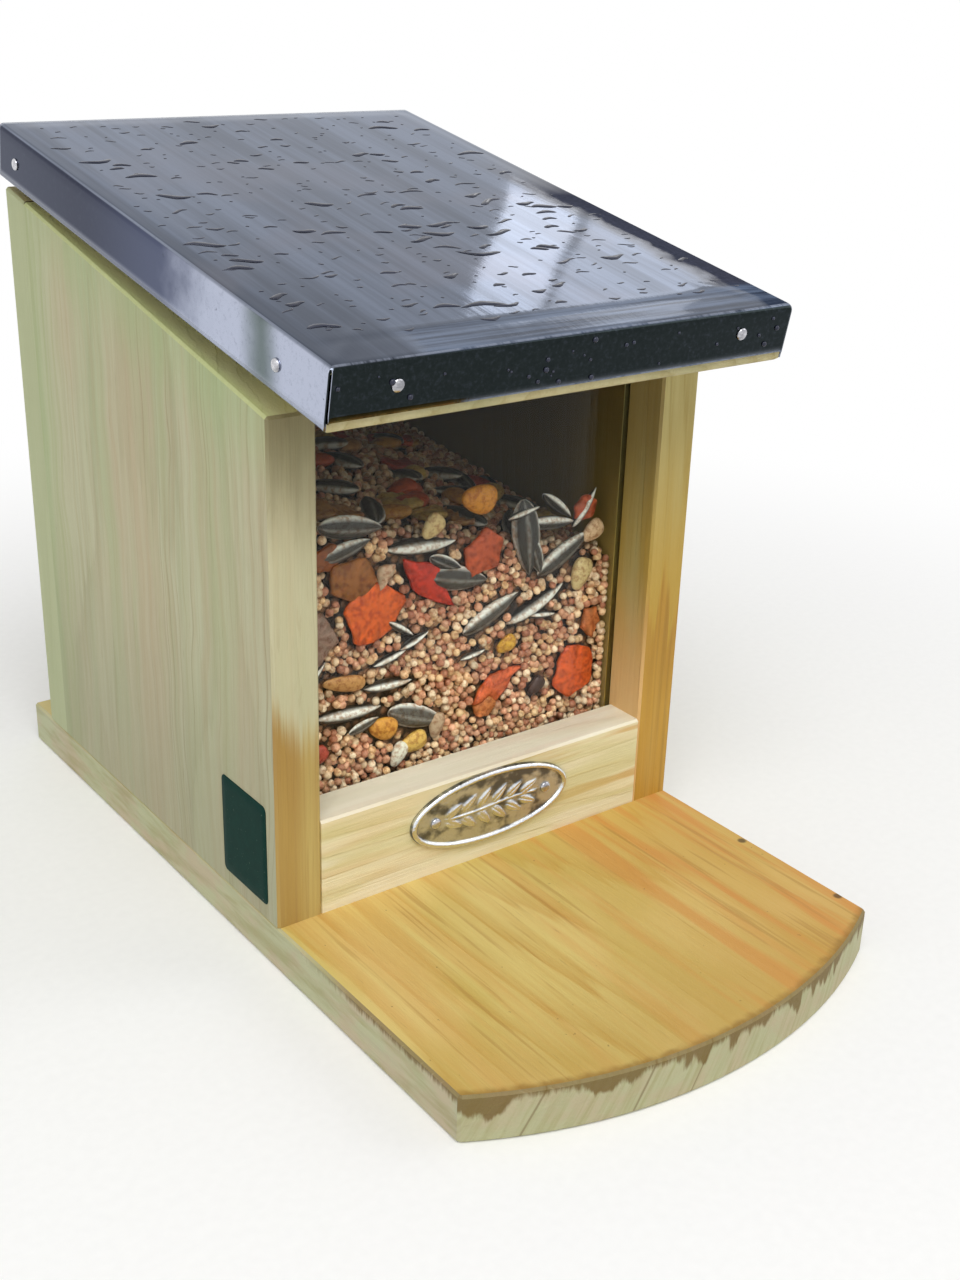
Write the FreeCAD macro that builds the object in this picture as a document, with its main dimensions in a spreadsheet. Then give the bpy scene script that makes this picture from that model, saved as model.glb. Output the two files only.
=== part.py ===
import FreeCAD, Part
import os

import Sketcher

# Lift-lid squirrel feeder: a wooden hopper with a clear front stands on a landing board, under a
# roof of board and folded zinc that hinges at the back. Millimetres, +Z up, +Y towards the back,
# origin under the middle of the base.

SIZES = {
    # Base: a board with a bowed front edge and a ledge that keeps the roof clear of a post.
    "base_width": 123.0,
    "base_depth": 236.0,
    "base_thickness": 12.0,
    "front_arc_rise": 16.0,
    "rear_ledge": 12.5,
    # House walls, all standing on the base.
    "side_thickness": 12.0,
    "side_depth": 123.0,
    "side_front_height": 123.5,
    "wall_slope": 12.5,
    "back_thickness": 12.0,
    "rail_thickness": 12.0,
    "rail_height": 25.0,
    "edge_easing": 0.6,
    # Clear pane, dropped into the grooves of the side walls from above.
    "pane_thickness": 2.0,
    "pane_clearance": 0.3,
    "groove_depth": 4.0,
    # Lid: board and zinc sheet. It rests on the pane, so it lies flatter than the wall tops.
    "roof_slope": 10.5,
    "roof_board_length": 162.0,
    "roof_side_overhang": 0.7,
    "roof_board_thickness": 13.4,
    "lid_lift": 1.3,
    "sheet_thickness": 0.6,
    "sheet_bend_radius": 1.4,
    "side_apron_depth": 13.0,
    "front_apron_depth": 11.5,
    "corner_seam": 0.4,
    # Two butt hinges with three knuckles each.
    "hinge_inset": 21.5,
    "hinge_rise": 1.3,
    "leaf_width": 24.0,
    "leaf_thickness": 1.0,
    "wall_leaf_height": 15.0,
    "roof_leaf_height": 12.5,
    "barrel_radius": 2.2,
    "hinge_pin_radius": 1.0,
    "pin_clearance": 0.05,
    "knuckle_width": 9.0,
    "knuckle_gap": 0.3,
    "leaf_screw_spread": 14.0,
    "leaf_screw_edge": 5.0,
    "leaf_screw_radius": 1.2,
    "leaf_screw_length": 10.0,
    "leaf_screw_head_radius": 2.1,
    "leaf_screw_head_height": 0.9,
    # Blank oval plate on the rail.
    "plate_length": 49.0,
    "plate_height": 19.5,
    "plate_thickness": 0.8,
    "plate_rim_height": 0.6,
    "plate_rim_width": 1.7,
    "plate_lift": 2.2,
    "plate_pin_spread": 34.5,
    "plate_pin_radius": 0.7,
    "plate_pin_length": 8.0,
    "plate_pin_head_radius": 1.5,
    "plate_pin_head_height": 0.8,
    # Nails of the zinc sheet and of the back wall, and the screws under the base.
    "roof_nail_radius": 0.8,
    "roof_nail_length": 12.0,
    "roof_nail_head_radius": 1.5,
    "roof_nail_head_height": 0.8,
    "roof_nail_from_front": 19.5,
    "roof_nail_from_rear": 11.0,
    "roof_nail_depth": 7.3,
    "front_nail_spread": 94.0,
    "front_nail_depth": 5.5,
    "back_nail_radius": 1.0,
    "back_nail_length": 30.0,
    "back_nail_head_radius": 2.4,
    "back_nail_head_height": 0.9,
    "back_nail_low": 45.0,
    "back_nail_high": 125.0,
    "base_screw_radius": 1.75,
    "base_screw_head_radius": 3.5,
    "base_screw_head_depth": 1.9,
    "base_screw_length": 30.0,
    "base_screw_end": 20.0,
    "base_screw_spread": 50.0,
    "drill_clearance": 0.05,
    # Holes through the back wall for hanging the feeder on a post, in line with the open top.
    "fixing_hole_radius": 2.5,
    "fixing_hole_spread": 36.0,
    "fixing_hole_height": 151.0,
    # Seed heap in the hopper: heights above the base at its corners, and the rise of its middle.
    "fill_front_left": 92.0,
    "fill_front_right": 68.0,
    "fill_back_left": 98.0,
    "fill_back_right": 82.0,
    "fill_crown": 5.0,
    "fill_clearance": 0.3,
}

V = FreeCAD.Vector
X_AXIS = V(1, 0, 0)
Y_AXIS = V(0, 1, 0)
ROUGH_SIZE = 40.0
ROUGH_BOW = 1.2
SAME_PLACE = 0.01
SHANK_SIDES = 8

doc = FreeCAD.newDocument("squirrel_feeder")
sheet = doc.addObject("Spreadsheet::Sheet", "size")
for row, (alias, value) in enumerate(SIZES.items(), 1):
    sheet.set(f"A{row}", alias)
    sheet.set(f"B{row}", str(value))
    sheet.setAlias(f"B{row}", alias)
doc.recompute()

# Formulas for the planes that the pieces share.
HALF_WIDTH = "(size.base_width / 2)"
INNER_FACE = f"({HALF_WIDTH} - size.side_thickness)"
WALL_REAR = "(size.base_depth / 2 - size.rear_ledge)"
WALL_BACK = f"({WALL_REAR} - size.back_thickness)"
WALL_FRONT = f"({WALL_BACK} - size.side_depth)"
RAIL_BACK = f"({WALL_FRONT} + size.rail_thickness)"
GROOVE_BACK = f"({RAIL_BACK} + size.pane_thickness + 2 * size.pane_clearance)"
PANE_FRONT = f"({RAIL_BACK} + size.pane_clearance)"
PANE_BACK = f"({PANE_FRONT} + size.pane_thickness)"
FRONT_TOP = "(size.base_thickness + size.side_front_height)"


def wall_top(depth):
    """Height of the sloping wall tops at a depth."""
    return f"({FRONT_TOP} + ({depth} - {WALL_FRONT}) * tan(size.wall_slope))"


HINGE_Y = f"({WALL_REAR} + size.barrel_radius)"
HINGE_Z = f"({wall_top(WALL_REAR)} + size.hinge_rise)"
HINGE_X = f"({HALF_WIDTH} - size.hinge_inset)"

# Planes of the lid, in its own frame: origin on the hinge axis, Y up the slope, Z off the board.
LID_REAR = "(-size.barrel_radius)"
LID_FRONT = f"({LID_REAR} - size.roof_board_length)"
LID_TOP = "(size.lid_lift + size.roof_board_thickness)"
LID_SIDE = f"({HALF_WIDTH} + size.roof_side_overhang)"
SHEET_TOP = f"({LID_TOP} + size.sheet_thickness)"
SHEET_FRONT = f"({LID_FRONT} - size.sheet_thickness)"
SHEET_SIDE = f"({LID_SIDE} + size.sheet_thickness)"


def lid_underside(depth):
    """Height of the closed lid's underside at a depth."""
    drop = f"({depth} - {HINGE_Y}) * tan(size.roof_slope)"
    return f"({HINGE_Z} + size.lid_lift / cos(size.roof_slope) + {drop})"


def bind(item, **formulas):
    """Tie properties of an object to formulas in the sheet's names."""
    for name, formula in formulas.items():
        item.setExpression(name, formula)
    return item


def place(item, x="0", y="0", z="0", axis=X_AXIS, turn=None):
    """Tie an object's place, and its turn about one axis in degrees, to formulas."""
    if turn is not None:
        item.Placement = FreeCAD.Placement(V(0, 0, 0), FreeCAD.Rotation(axis, 90))
        item.setExpression("Placement.Rotation.Angle", turn)
    for letter, formula in (("x", x), ("y", y), ("z", z)):
        item.setExpression(f"Placement.Base.{letter}", formula)
    return item


def on_lid(item):
    """Put a piece made in the lid's frame at its place on the hinge."""
    return place(item, y=HINGE_Y, z=HINGE_Z, turn="size.roof_slope")


def new_body(label):
    body = doc.addObject("PartDesign::Body", label)
    body.Label = label
    return body


def new_sketch(body, name, role, offset="0"):
    """A sketch on one of the body's own planes, moved along the plane's normal by a formula."""
    plane = next(item for item in body.Origin.OriginFeatures if item.Role == role)
    sketch = body.newObject("Sketcher::SketchObject", name)
    sketch.AttachmentSupport = (plane, [""])
    sketch.MapMode = "FlatFace"
    sketch.setExpression("AttachmentOffset.Base.z", offset)
    return sketch


def pin_point(sketch, edge, end, x, y):
    """Hold one end of an edge at two formulas measured from the sketch's origin."""
    start = sketch.getPoint(edge, end)
    for kind, value, formula in (("DistanceX", start.x, x), ("DistanceY", start.y, y)):
        index = sketch.addConstraint(Sketcher.Constraint(kind, -1, 1, edge, end, value))
        name = f"{kind}_{edge}_{end}"
        sketch.renameConstraint(index, name)
        sketch.setExpression(f"Constraints.{name}", formula)


def outline(body, name, role, corners, offset="0"):
    """A closed outline of straight edges through corners given as pairs of formulas."""
    sketch = new_sketch(body, name, role, offset)
    count = len(corners)
    turn = FreeCAD.Rotation(V(0, 0, 1), 360 / count)
    rough = [V(ROUGH_SIZE, 0, 0)]
    for _ in corners[1:]:
        rough.append(turn.multVec(rough[-1]))
    for index in range(count):
        sketch.addGeometry(Part.LineSegment(rough[index], rough[(index + 1) % count]))
    for index, (x, y) in enumerate(corners):
        sketch.addConstraint(Sketcher.Constraint("Coincident", (index - 1) % count, 2, index, 1))
        pin_point(sketch, index, 1, x, y)
    return sketch


def rectangle(body, name, role, low, high, offset="0"):
    """A rectangular outline between two opposite corners."""
    corners = [(low[0], low[1]), (high[0], low[1]), (high[0], high[1]), (low[0], high[1])]
    return outline(body, name, role, corners, offset)


def pad(body, sketch, length, symmetric=False):
    feature = body.newObject("PartDesign::Pad", f"{sketch.Name}_pad")
    feature.Profile = sketch
    feature.SideType = "Symmetric" if symmetric else "One side"
    return bind(feature, Length=length)


def pocket(body, sketch, length, along_normal=False):
    feature = body.newObject("PartDesign::Pocket", f"{sketch.Name}_pocket")
    feature.Profile = sketch
    feature.Reversed = along_normal
    return bind(feature, Length=length)


def near(first, second):
    return abs(first - second) < SAME_PLACE


def picked(kind, shape, wanted):
    """Names of the faces or edges that a test of their box against the whole shape's box picks."""
    items = shape.Faces if kind == "Face" else shape.Edges
    bounds = shape.BoundBox
    return [f"{kind}{index}" for index, item in enumerate(items, 1) if wanted(item.BoundBox, bounds)]


def worked_edges(body, feature, kind, wanted, **size):
    """Chamfer or fillet the edges of a feature that the test picks."""
    doc.recompute()
    work = body.newObject(f"PartDesign::{kind}", f"{feature.Name}_{kind.lower()}")
    work.Base = (feature, picked("Edge", feature.Shape, wanted))
    return bind(work, **size)


def eased(body, feature, wanted):
    """Take the sharp corner off the edges of a board that the test picks."""
    return worked_edges(body, feature, "Chamfer", wanted, Size="size.edge_easing")


def box(name, origin, low, high):
    """A block between two corners, given as formulas from an origin."""
    block = doc.addObject("Part::Box", name)
    spans = [f"{top} - ({bottom})" for bottom, top in zip(low, high)]
    bind(block, Length=spans[0], Width=spans[1], Height=spans[2])
    return place(block, *[f"{start} + ({bottom})" for start, bottom in zip(origin, low)])


def rod(name, radius, low, high):
    """A cylinder along Z from one height to another."""
    cylinder = doc.addObject("Part::Cylinder", name)
    bind(cylinder, Radius=radius, Height=f"{high} - ({low})")
    return place(cylinder, z=low)


def shank(name, radius, low, high):
    """An eight-sided bar along Z: shanks and their holes are hidden in the wood."""
    bar = doc.addObject("Part::Prism", name)
    bar.Polygon = SHANK_SIDES
    bind(bar, Circumradius=radius, Height=f"{high} - ({low})")
    return place(bar, z=low)


def cross_rod(name, origin, radius, low, high):
    """A cylinder along X from one side to another of an origin."""
    cylinder = doc.addObject("Part::Cylinder", name)
    bind(cylinder, Radius=radius, Height=f"{high} - ({low})")
    return place(cylinder, f"{origin[0]} + ({low})", origin[1], origin[2], Y_AXIS, "90")


def fused(name, pieces):
    item = doc.addObject("Part::MultiFuse", name)
    item.Shapes = pieces
    return item


def group(name, pieces):
    item = doc.addObject("Part::Compound", name)
    item.Links = pieces
    return item


def cut(label, blank, tools):
    """What is left of a blank once all the tools have been taken out of it."""
    item = doc.addObject("Part::Cut", label)
    item.Label = label
    item.Base = blank
    item.Tool = group(f"{label}_tools", tools)
    return item


# Fasteners are driven along -Z from their own origin, which lies on the surface that they enter.
def nail_form(name, radius, length, head_radius, head_height):
    """A nail, pin or screw with a flat round head that stands on the surface."""
    head = rod(f"{name}_head", head_radius, "0", head_height)
    return fused(name, [head, shank(f"{name}_shank", radius, f"-{length}", "0")])


def screw_form(name, radius, length, head_radius, head_depth):
    """A countersunk screw whose head is level with the surface."""
    head = doc.addObject("Part::Cone", f"{name}_head")
    bind(head, Radius1=radius, Radius2=head_radius, Height=head_depth)
    place(head, z=f"-{head_depth}")
    return fused(name, [head, shank(f"{name}_shank", radius, f"-{length}", f"-{head_depth}")])


def copies(name, form, spots):
    """Copies of one form at spots given as place formulas, an axis and a turn."""
    links = []
    for index, (x, y, z, axis, turn) in enumerate(spots, 1):
        link = doc.addObject("App::Link", f"{name}_{index}")
        link.LinkedObject = form
        link.LinkTransform = True
        links.append(place(link, x, y, z, axis, turn))
    return group(name, links)


def wider(size):
    return f"({size} + size.drill_clearance)"


def nails(label, prefix, spots):
    """A group of round-headed fasteners, and the group of holes that they are driven into."""
    radius, length = f"size.{prefix}_radius", f"size.{prefix}_length"
    head = (f"size.{prefix}_head_radius", f"size.{prefix}_head_height")
    drill = shank(f"{label}_drill", wider(radius), f"-{wider(length)}", "size.drill_clearance")
    holes = copies(f"{label}_holes", drill, spots)
    driven = copies(label, nail_form(f"{label}_form", radius, length, *head), spots)
    return driven, holes


def screws(label, prefix, head, spots):
    """A group of countersunk screws, and the group of holes that they sit in."""
    radius, length = f"size.{prefix}_radius", f"size.{prefix}_length"
    drill = screw_form(f"{label}_drill", wider(radius), wider(length), wider(head[0]), head[1])
    holes = copies(f"{label}_holes", drill, spots)
    driven = copies(label, screw_form(f"{label}_form", radius, length, *head), spots)
    return driven, holes


def both_sides(x, *rest):
    """One spot on each side of the middle."""
    return [(f"-({x})", *rest), (x, *rest)]


# Fasteners, each kind with the holes that the pieces share with it.
WALL_LINE = f"({HALF_WIDTH} - size.side_thickness / 2)"
PLATE_Z = "(size.base_thickness + size.rail_height / 2 + size.plate_lift)"
LEAF_FACE = "(size.leaf_thickness - size.barrel_radius)"


def base_fasteners():
    """Screws up through the base, into the side walls and the rail."""
    places = [
        (WALL_LINE, f"{WALL_FRONT} + size.base_screw_end"),
        (WALL_LINE, f"{WALL_BACK} - size.base_screw_end"),
        ("size.base_screw_spread / 2", f"{WALL_FRONT} + size.rail_thickness / 2"),
    ]
    spots = [spot for x, y in places for spot in both_sides(x, y, "0", X_AXIS, "180")]
    head = ("size.base_screw_head_radius", "size.base_screw_head_depth")
    return screws("base_screws", "base_screw", head, spots)


def back_fasteners():
    """Nails through the back wall into the rear edges of the side walls."""
    heights = ("size.back_nail_low", "size.back_nail_high")
    spots = [spot for z in heights for spot in both_sides(WALL_LINE, WALL_REAR, z, X_AXIS, "-90")]
    return nails("back_wall_nails", "back_nail", spots)


def plate_fasteners():
    """Pins through the oval plate into the rail."""
    face = f"{WALL_FRONT} - size.plate_thickness"
    spots = both_sides("size.plate_pin_spread / 2", face, PLATE_Z, X_AXIS, "90")
    return nails("oval_plate_pins", "plate_pin", spots)


def roof_fasteners():
    """Nails through the folded edges of the sheet into the roof board, in the lid's frame."""
    height = f"{SHEET_TOP} - size.roof_nail_depth"
    front_height = f"{SHEET_TOP} - size.front_nail_depth"
    depths = (f"{SHEET_FRONT} + size.roof_nail_from_front", f"{LID_REAR} - size.roof_nail_from_rear")
    spots = both_sides("size.front_nail_spread / 2", SHEET_FRONT, front_height, X_AXIS, "90")
    for y in depths:
        spots.append((f"-{SHEET_SIDE}", y, height, Y_AXIS, "-90"))
        spots.append((SHEET_SIDE, y, height, Y_AXIS, "90"))
    return nails("roof_sheet_nails", "roof_nail", spots)


def leaf_fasteners(label, y, z):
    """Two screws in each of two hinge leaves, driven forwards from the leaves' outer faces."""
    spots = []
    for sign in "-+":
        x = f"({HINGE_X} {sign} size.leaf_screw_spread / 2)"
        spots += both_sides(x, y, z, X_AXIS, "-90")
    return nails(label, "leaf_screw", spots)


def fixing_holes():
    """Two plain holes through the back wall, one on each side of the middle."""
    depth = "size.back_thickness"
    drill = rod("fixing_drill", "size.fixing_hole_radius", f"-2 * {depth}", depth)
    height = "size.fixing_hole_height"
    spots = both_sides("size.fixing_hole_spread / 2", WALL_REAR, height, X_AXIS, "-90")
    return copies("fixing_holes", drill, spots)


# Wooden pieces of the house.
def base_board(holes):
    """Board with straight sides and back, and a front edge bowed to one arc."""
    body = new_body("base_board_blank")
    sketch = new_sketch(body, "base_plan", "XY_Plane")
    corners = [V(-1, -1, 0), V(-1, 1, 0), V(1, 1, 0), V(1, -1, 0)]
    rough = [corner * ROUGH_SIZE for corner in corners]
    for start, end in zip(rough, rough[1:]):
        sketch.addGeometry(Part.LineSegment(start, end))
    sketch.addGeometry(Part.Arc(rough[0], V(0, -ROUGH_BOW * ROUGH_SIZE, 0), rough[3]))
    left, rear, right, bow = range(4)
    for first, first_end, second, second_end in (
        (left, 2, rear, 1),
        (rear, 2, right, 1),
        (right, 2, bow, 2),
        (bow, 1, left, 1),
    ):
        sketch.addConstraint(Sketcher.Constraint("Coincident", first, first_end, second, second_end))
    rear_edge = "size.base_depth / 2"
    bow_ends = "size.front_arc_rise - size.base_depth / 2"
    pin_point(sketch, left, 1, f"-{HALF_WIDTH}", bow_ends)
    pin_point(sketch, rear, 1, f"-{HALF_WIDTH}", rear_edge)
    pin_point(sketch, rear, 2, HALF_WIDTH, rear_edge)
    pin_point(sketch, right, 2, HALF_WIDTH, bow_ends)
    index = sketch.addConstraint(Sketcher.Constraint("Radius", bow, sketch.Geometry[bow].Radius))
    sketch.renameConstraint(index, "bow_radius")
    radius = f"({HALF_WIDTH} ^ 2 + size.front_arc_rise ^ 2) / (2 * size.front_arc_rise)"
    sketch.setExpression("Constraints.bow_radius", radius)
    board = pad(body, sketch, "size.base_thickness")
    eased(body, board, lambda edge, bounds: True)
    return cut("base_board", body, holes)


def side_wall(label, low_face, inner_face, towards_right, holes):
    """Board with a sloping top and an upright groove for the pane in its inner face."""
    body = new_body(f"{label}_blank")
    corners = [
        (WALL_FRONT, "size.base_thickness"),
        (WALL_BACK, "size.base_thickness"),
        (WALL_BACK, wall_top(WALL_BACK)),
        (WALL_FRONT, FRONT_TOP),
    ]
    profile = outline(body, f"{label}_profile", "YZ_Plane", corners, low_face)
    board = pad(body, profile, "size.side_thickness")
    eased(body, board, lambda edge, bounds: (
        not near(edge.ZMax, bounds.ZMin) and not near(edge.YMin, bounds.YMax)
    ))
    low = (RAIL_BACK, "size.base_thickness - size.groove_depth")
    high = (GROOVE_BACK, f"{wall_top(GROOVE_BACK)} + size.groove_depth")
    slot = rectangle(body, f"{label}_groove", "YZ_Plane", low, high, inner_face)
    pocket(body, slot, "size.groove_depth", towards_right)
    return cut(label, body, holes)


def back_wall(holes):
    """Board as wide as the base, its top in line with the side walls' slope."""
    body = new_body("back_wall_blank")
    corners = [
        (WALL_BACK, "size.base_thickness"),
        (WALL_REAR, "size.base_thickness"),
        (WALL_REAR, wall_top(WALL_REAR)),
        (WALL_BACK, wall_top(WALL_BACK)),
    ]
    profile = outline(body, "back_wall_profile", "YZ_Plane", corners)
    board = pad(body, profile, "size.base_width", symmetric=True)
    eased(body, board, lambda edge, bounds: (
        not near(edge.ZMax, bounds.ZMin)
        and (not near(edge.ZMin, bounds.ZMin) or near(edge.YMin, bounds.YMax))
    ))
    return cut("back_wall", body, holes)


def front_rail(holes):
    """Low board between the side walls, level with their front edges."""
    body = new_body("front_rail_blank")
    low = (WALL_FRONT, "size.base_thickness")
    high = (RAIL_BACK, "size.base_thickness + size.rail_height")
    profile = rectangle(body, "rail_profile", "YZ_Plane", low, high)
    board = pad(body, profile, f"2 * {INNER_FACE}", symmetric=True)
    eased(body, board, lambda edge, bounds: (
        near(edge.ZMin, bounds.ZMax) and near(edge.YMin, edge.YMax)
    ))
    return cut("front_rail", body, holes)


def window_pane():
    """Clear pane from the base up to the lid, which rests on its bevelled top edge."""
    body = new_body("window_pane")
    corners = [
        (PANE_FRONT, "size.base_thickness"),
        (PANE_BACK, "size.base_thickness"),
        (PANE_BACK, f"{lid_underside(PANE_BACK)} - size.pane_clearance"),
        (PANE_FRONT, f"{lid_underside(PANE_FRONT)} - size.pane_clearance"),
    ]
    profile = outline(body, "pane_profile", "YZ_Plane", corners)
    width = f"2 * ({INNER_FACE} + size.groove_depth - size.pane_clearance)"
    pad(body, profile, width, symmetric=True)
    return body


def seed_fill():
    """Heap of seed between the pane and the back wall, higher on the left."""
    body = new_body("seed_fill")
    reach = f"({INNER_FACE} - size.fill_clearance)"
    front = f"({PANE_BACK} + size.fill_clearance)"
    back = f"({WALL_BACK} - size.fill_clearance)"
    middle_left = "((size.fill_front_left + size.fill_back_left) / 2 + size.fill_crown)"
    middle_right = "((size.fill_front_right + size.fill_back_right) / 2 + size.fill_crown)"
    stations = [
        (front, "size.fill_front_left", "size.fill_front_right"),
        (f"({front} + {back}) / 2", middle_left, middle_right),
        (back, "size.fill_back_left", "size.fill_back_right"),
    ]
    sections = []
    for index, (depth, left, right) in enumerate(stations, 1):
        corners = [
            (f"-{reach}", "size.base_thickness"),
            (reach, "size.base_thickness"),
            (reach, f"size.base_thickness + {right}"),
            (f"-{reach}", f"size.base_thickness + {left}"),
        ]
        sections.append(outline(body, f"fill_section_{index}", "XZ_Plane", corners, f"-({depth})"))
    loft = body.newObject("PartDesign::AdditiveLoft", "fill_loft")
    loft.Profile = sections[0]
    loft.Sections = sections[1:]
    loft.Ruled = True
    return body


# Oval plate on the rail.
def oval(name, inset, depth, start):
    """An oval block on the front of the rail, some way in from the plate's outline."""
    edge = doc.addObject("Part::Ellipse", f"{name}_edge")
    half_length, half_height = (f"size.{side} / 2 - {inset}" for side in ("plate_length", "plate_height"))
    bind(edge, MajorRadius=half_length, MinorRadius=half_height)
    place(edge, y=f"{WALL_FRONT} - {start}", z=PLATE_Z, turn="90")
    block = doc.addObject("Part::Extrusion", name)
    block.Base = edge
    block.DirMode = "Normal"
    block.Reversed = True
    block.Solid = True
    return bind(block, LengthFwd=depth)


def oval_plate(holes):
    """Pressed oval with a raised rim and a blank field."""
    blank = oval("plate_blank", "0", "size.plate_thickness + size.plate_rim_height", "0")
    field = oval("plate_field", "size.plate_rim_width", "2 * size.plate_rim_height", "size.plate_thickness")
    return cut("oval_plate", blank, [field, holes])


# Pieces of the lid, made in its own frame.
def folded(edge, bounds):
    """The top edges of the lid that the sheet folds over: all but the rear one."""
    return near(edge.ZMin, bounds.ZMax) and not near(edge.YMin, bounds.YMax)


def roof_board(holes):
    """Board of the lid, bevelled where the sheet folds over it."""
    body = new_body("roof_board_blank")
    profile = rectangle(body, "roof_profile", "YZ_Plane", (LID_FRONT, "size.lid_lift"), (LID_REAR, LID_TOP))
    board = pad(body, profile, f"2 * {LID_SIDE}", symmetric=True)
    fold = "size.sheet_bend_radius - size.sheet_thickness"
    bevelled = worked_edges(body, board, "Chamfer", folded, Size=fold)
    eased(body, bevelled, lambda edge, bounds: near(edge.ZMax, bounds.ZMin))
    return on_lid(cut("roof_board", body, holes))


def roof_sheet(holes):
    """Zinc sheet folded down over the front and both sides, with a slit at each front corner."""
    body = new_body("roof_sheet_blank")
    lower_edge = f"{SHEET_TOP} - size.side_apron_depth"
    profile = rectangle(body, "sheet_profile", "YZ_Plane", (SHEET_FRONT, lower_edge), (LID_REAR, SHEET_TOP))
    block = pad(body, profile, f"2 * {SHEET_SIDE}", symmetric=True)
    bent = worked_edges(body, block, "Fillet", folded, Radius="size.sheet_bend_radius")
    doc.recompute()
    shell = body.newObject("PartDesign::Thickness", "sheet_shell")
    shell.Base = (bent, picked("Face", bent.Shape, lambda face, bounds: (
        near(face.ZMax, bounds.ZMin) or near(face.YMin, bounds.YMax)
    )))
    shell.Reversed = True
    bind(shell, Value="size.sheet_thickness")
    slit_in = f"({LID_SIDE} - size.corner_seam)"
    slit_top = f"{SHEET_TOP} - size.sheet_bend_radius"
    front_edge = f"{SHEET_TOP} - size.front_apron_depth"
    below = f"{lower_edge} - size.sheet_thickness"
    right = [(slit_in, front_edge), (slit_in, slit_top), (LID_SIDE, slit_top), (LID_SIDE, below)]
    left = [(f"-{x}", z) for x, z in reversed(right)]
    trim = outline(body, "front_trim", "XZ_Plane", left + right, f"-{SHEET_FRONT}")
    pocket(body, trim, "2 * size.sheet_thickness")
    return on_lid(cut("roof_sheet", body, holes))


# Hinges.
def hinge_leaf(label, origin, span, notches, holes):
    """Flat leaf rolled into knuckles round the pin, made about a point on the hinge axis."""
    half = "size.leaf_width / 2"
    reach = "2 * size.barrel_radius"
    low, high = (f"-{half}", "-size.barrel_radius", span[0]), (half, LEAF_FACE, span[1])
    strip = box(f"{label}_strip", origin, low, high)
    barrel = cross_rod(f"{label}_barrel", origin, "size.barrel_radius", f"-{half}", half)
    bore_radius = "size.hinge_pin_radius + size.pin_clearance"
    tools = [cross_rod(f"{label}_bore", origin, bore_radius, "-size.leaf_width", "size.leaf_width"), holes]
    for index, (left, right, bottom, top) in enumerate(notches, 1):
        low, high = (left, f"-{reach}", bottom), (right, reach, top)
        tools.append(box(f"{label}_notch_{index}", origin, low, high))
    return cut(label, fused(f"{label}_blank", [strip, barrel]), tools)


def wall_leaf(label, x, holes):
    """Leaf on the back wall, with the two outer knuckles."""
    half = "size.knuckle_width / 2"
    middle = (f"-{half}", half, "-(size.barrel_radius + size.knuckle_gap)", "2 * size.barrel_radius")
    span = ("-size.wall_leaf_height", "0")
    return hinge_leaf(label, (x, HINGE_Y, HINGE_Z), span, [middle], holes)


def roof_leaf(label, x, holes):
    """Leaf on the rear edge of the roof board, with the middle knuckle."""
    half = "(size.knuckle_width / 2 - size.knuckle_gap)"
    heights = ("-2 * size.barrel_radius", "size.barrel_radius + size.knuckle_gap")
    ends = [("-size.leaf_width", f"-{half}", *heights), (half, "size.leaf_width", *heights)]
    return on_lid(hinge_leaf(label, (x, "0", "0"), ("0", "size.roof_leaf_height"), ends, holes))


base_screws, base_holes = base_fasteners()
back_nails, back_holes = back_fasteners()
plate_pins, plate_holes = plate_fasteners()
roof_nails, roof_holes = roof_fasteners()
wall_screw_height = f"{HINGE_Z} - size.wall_leaf_height + size.leaf_screw_edge"
wall_screws, wall_screw_holes = leaf_fasteners(
    "hinge_wall_screws", f"{HINGE_Y} + {LEAF_FACE}", wall_screw_height
)
roof_screws, roof_screw_holes = leaf_fasteners(
    "hinge_roof_screws", LEAF_FACE, "size.roof_leaf_height - size.leaf_screw_edge"
)

nodes = [
    base_board([base_holes]),
    side_wall("left_side_wall", f"-{HALF_WIDTH}", f"-{INNER_FACE}", False, [base_holes, back_holes]),
    side_wall("right_side_wall", INNER_FACE, INNER_FACE, True, [base_holes, back_holes]),
    back_wall([back_holes, wall_screw_holes, fixing_holes()]),
    front_rail([base_holes, plate_holes]),
    window_pane(),
    seed_fill(),
    oval_plate(plate_holes),
    plate_pins,
    roof_board([roof_holes, roof_screw_holes]),
    roof_sheet([roof_holes]),
    on_lid(roof_nails),
    base_screws,
    back_nails,
    wall_screws,
    on_lid(roof_screws),
]
for side, x in (("left", f"-{HINGE_X}"), ("right", HINGE_X)):
    nodes.append(wall_leaf(f"hinge_wall_leaf_{side}", x, wall_screw_holes))
    nodes.append(roof_leaf(f"hinge_roof_leaf_{side}", x, roof_screw_holes))
    axis_point = (x, HINGE_Y, HINGE_Z)
    half = "size.leaf_width / 2"
    nodes.append(cross_rod(f"hinge_pin_{side}", axis_point, "size.hinge_pin_radius", f"-{half}", half))
doc.recompute()

faults = [item.Label for item in doc.Objects if {"Invalid", "Error"} & set(item.State)]
faults += [node.Label for node in nodes if node.Shape.isNull() or not node.Shape.isValid()]
for item in doc.Objects:
    if item.TypeId == "PartDesign::Pocket" and item.Shape.Volume >= item.BaseFeature.Shape.Volume:
        faults.append(item.Label)
if faults:
    raise RuntimeError(f"failed pieces: {faults}")

os.makedirs("parts", exist_ok=True)
for node in nodes:
    node.Shape.exportStep(f"parts/{node.Label}.step")
    print(f"{node.Label}: {len(node.Shape.Solids)} solid(s), {node.Shape.Volume:.1f} mm3")
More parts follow.
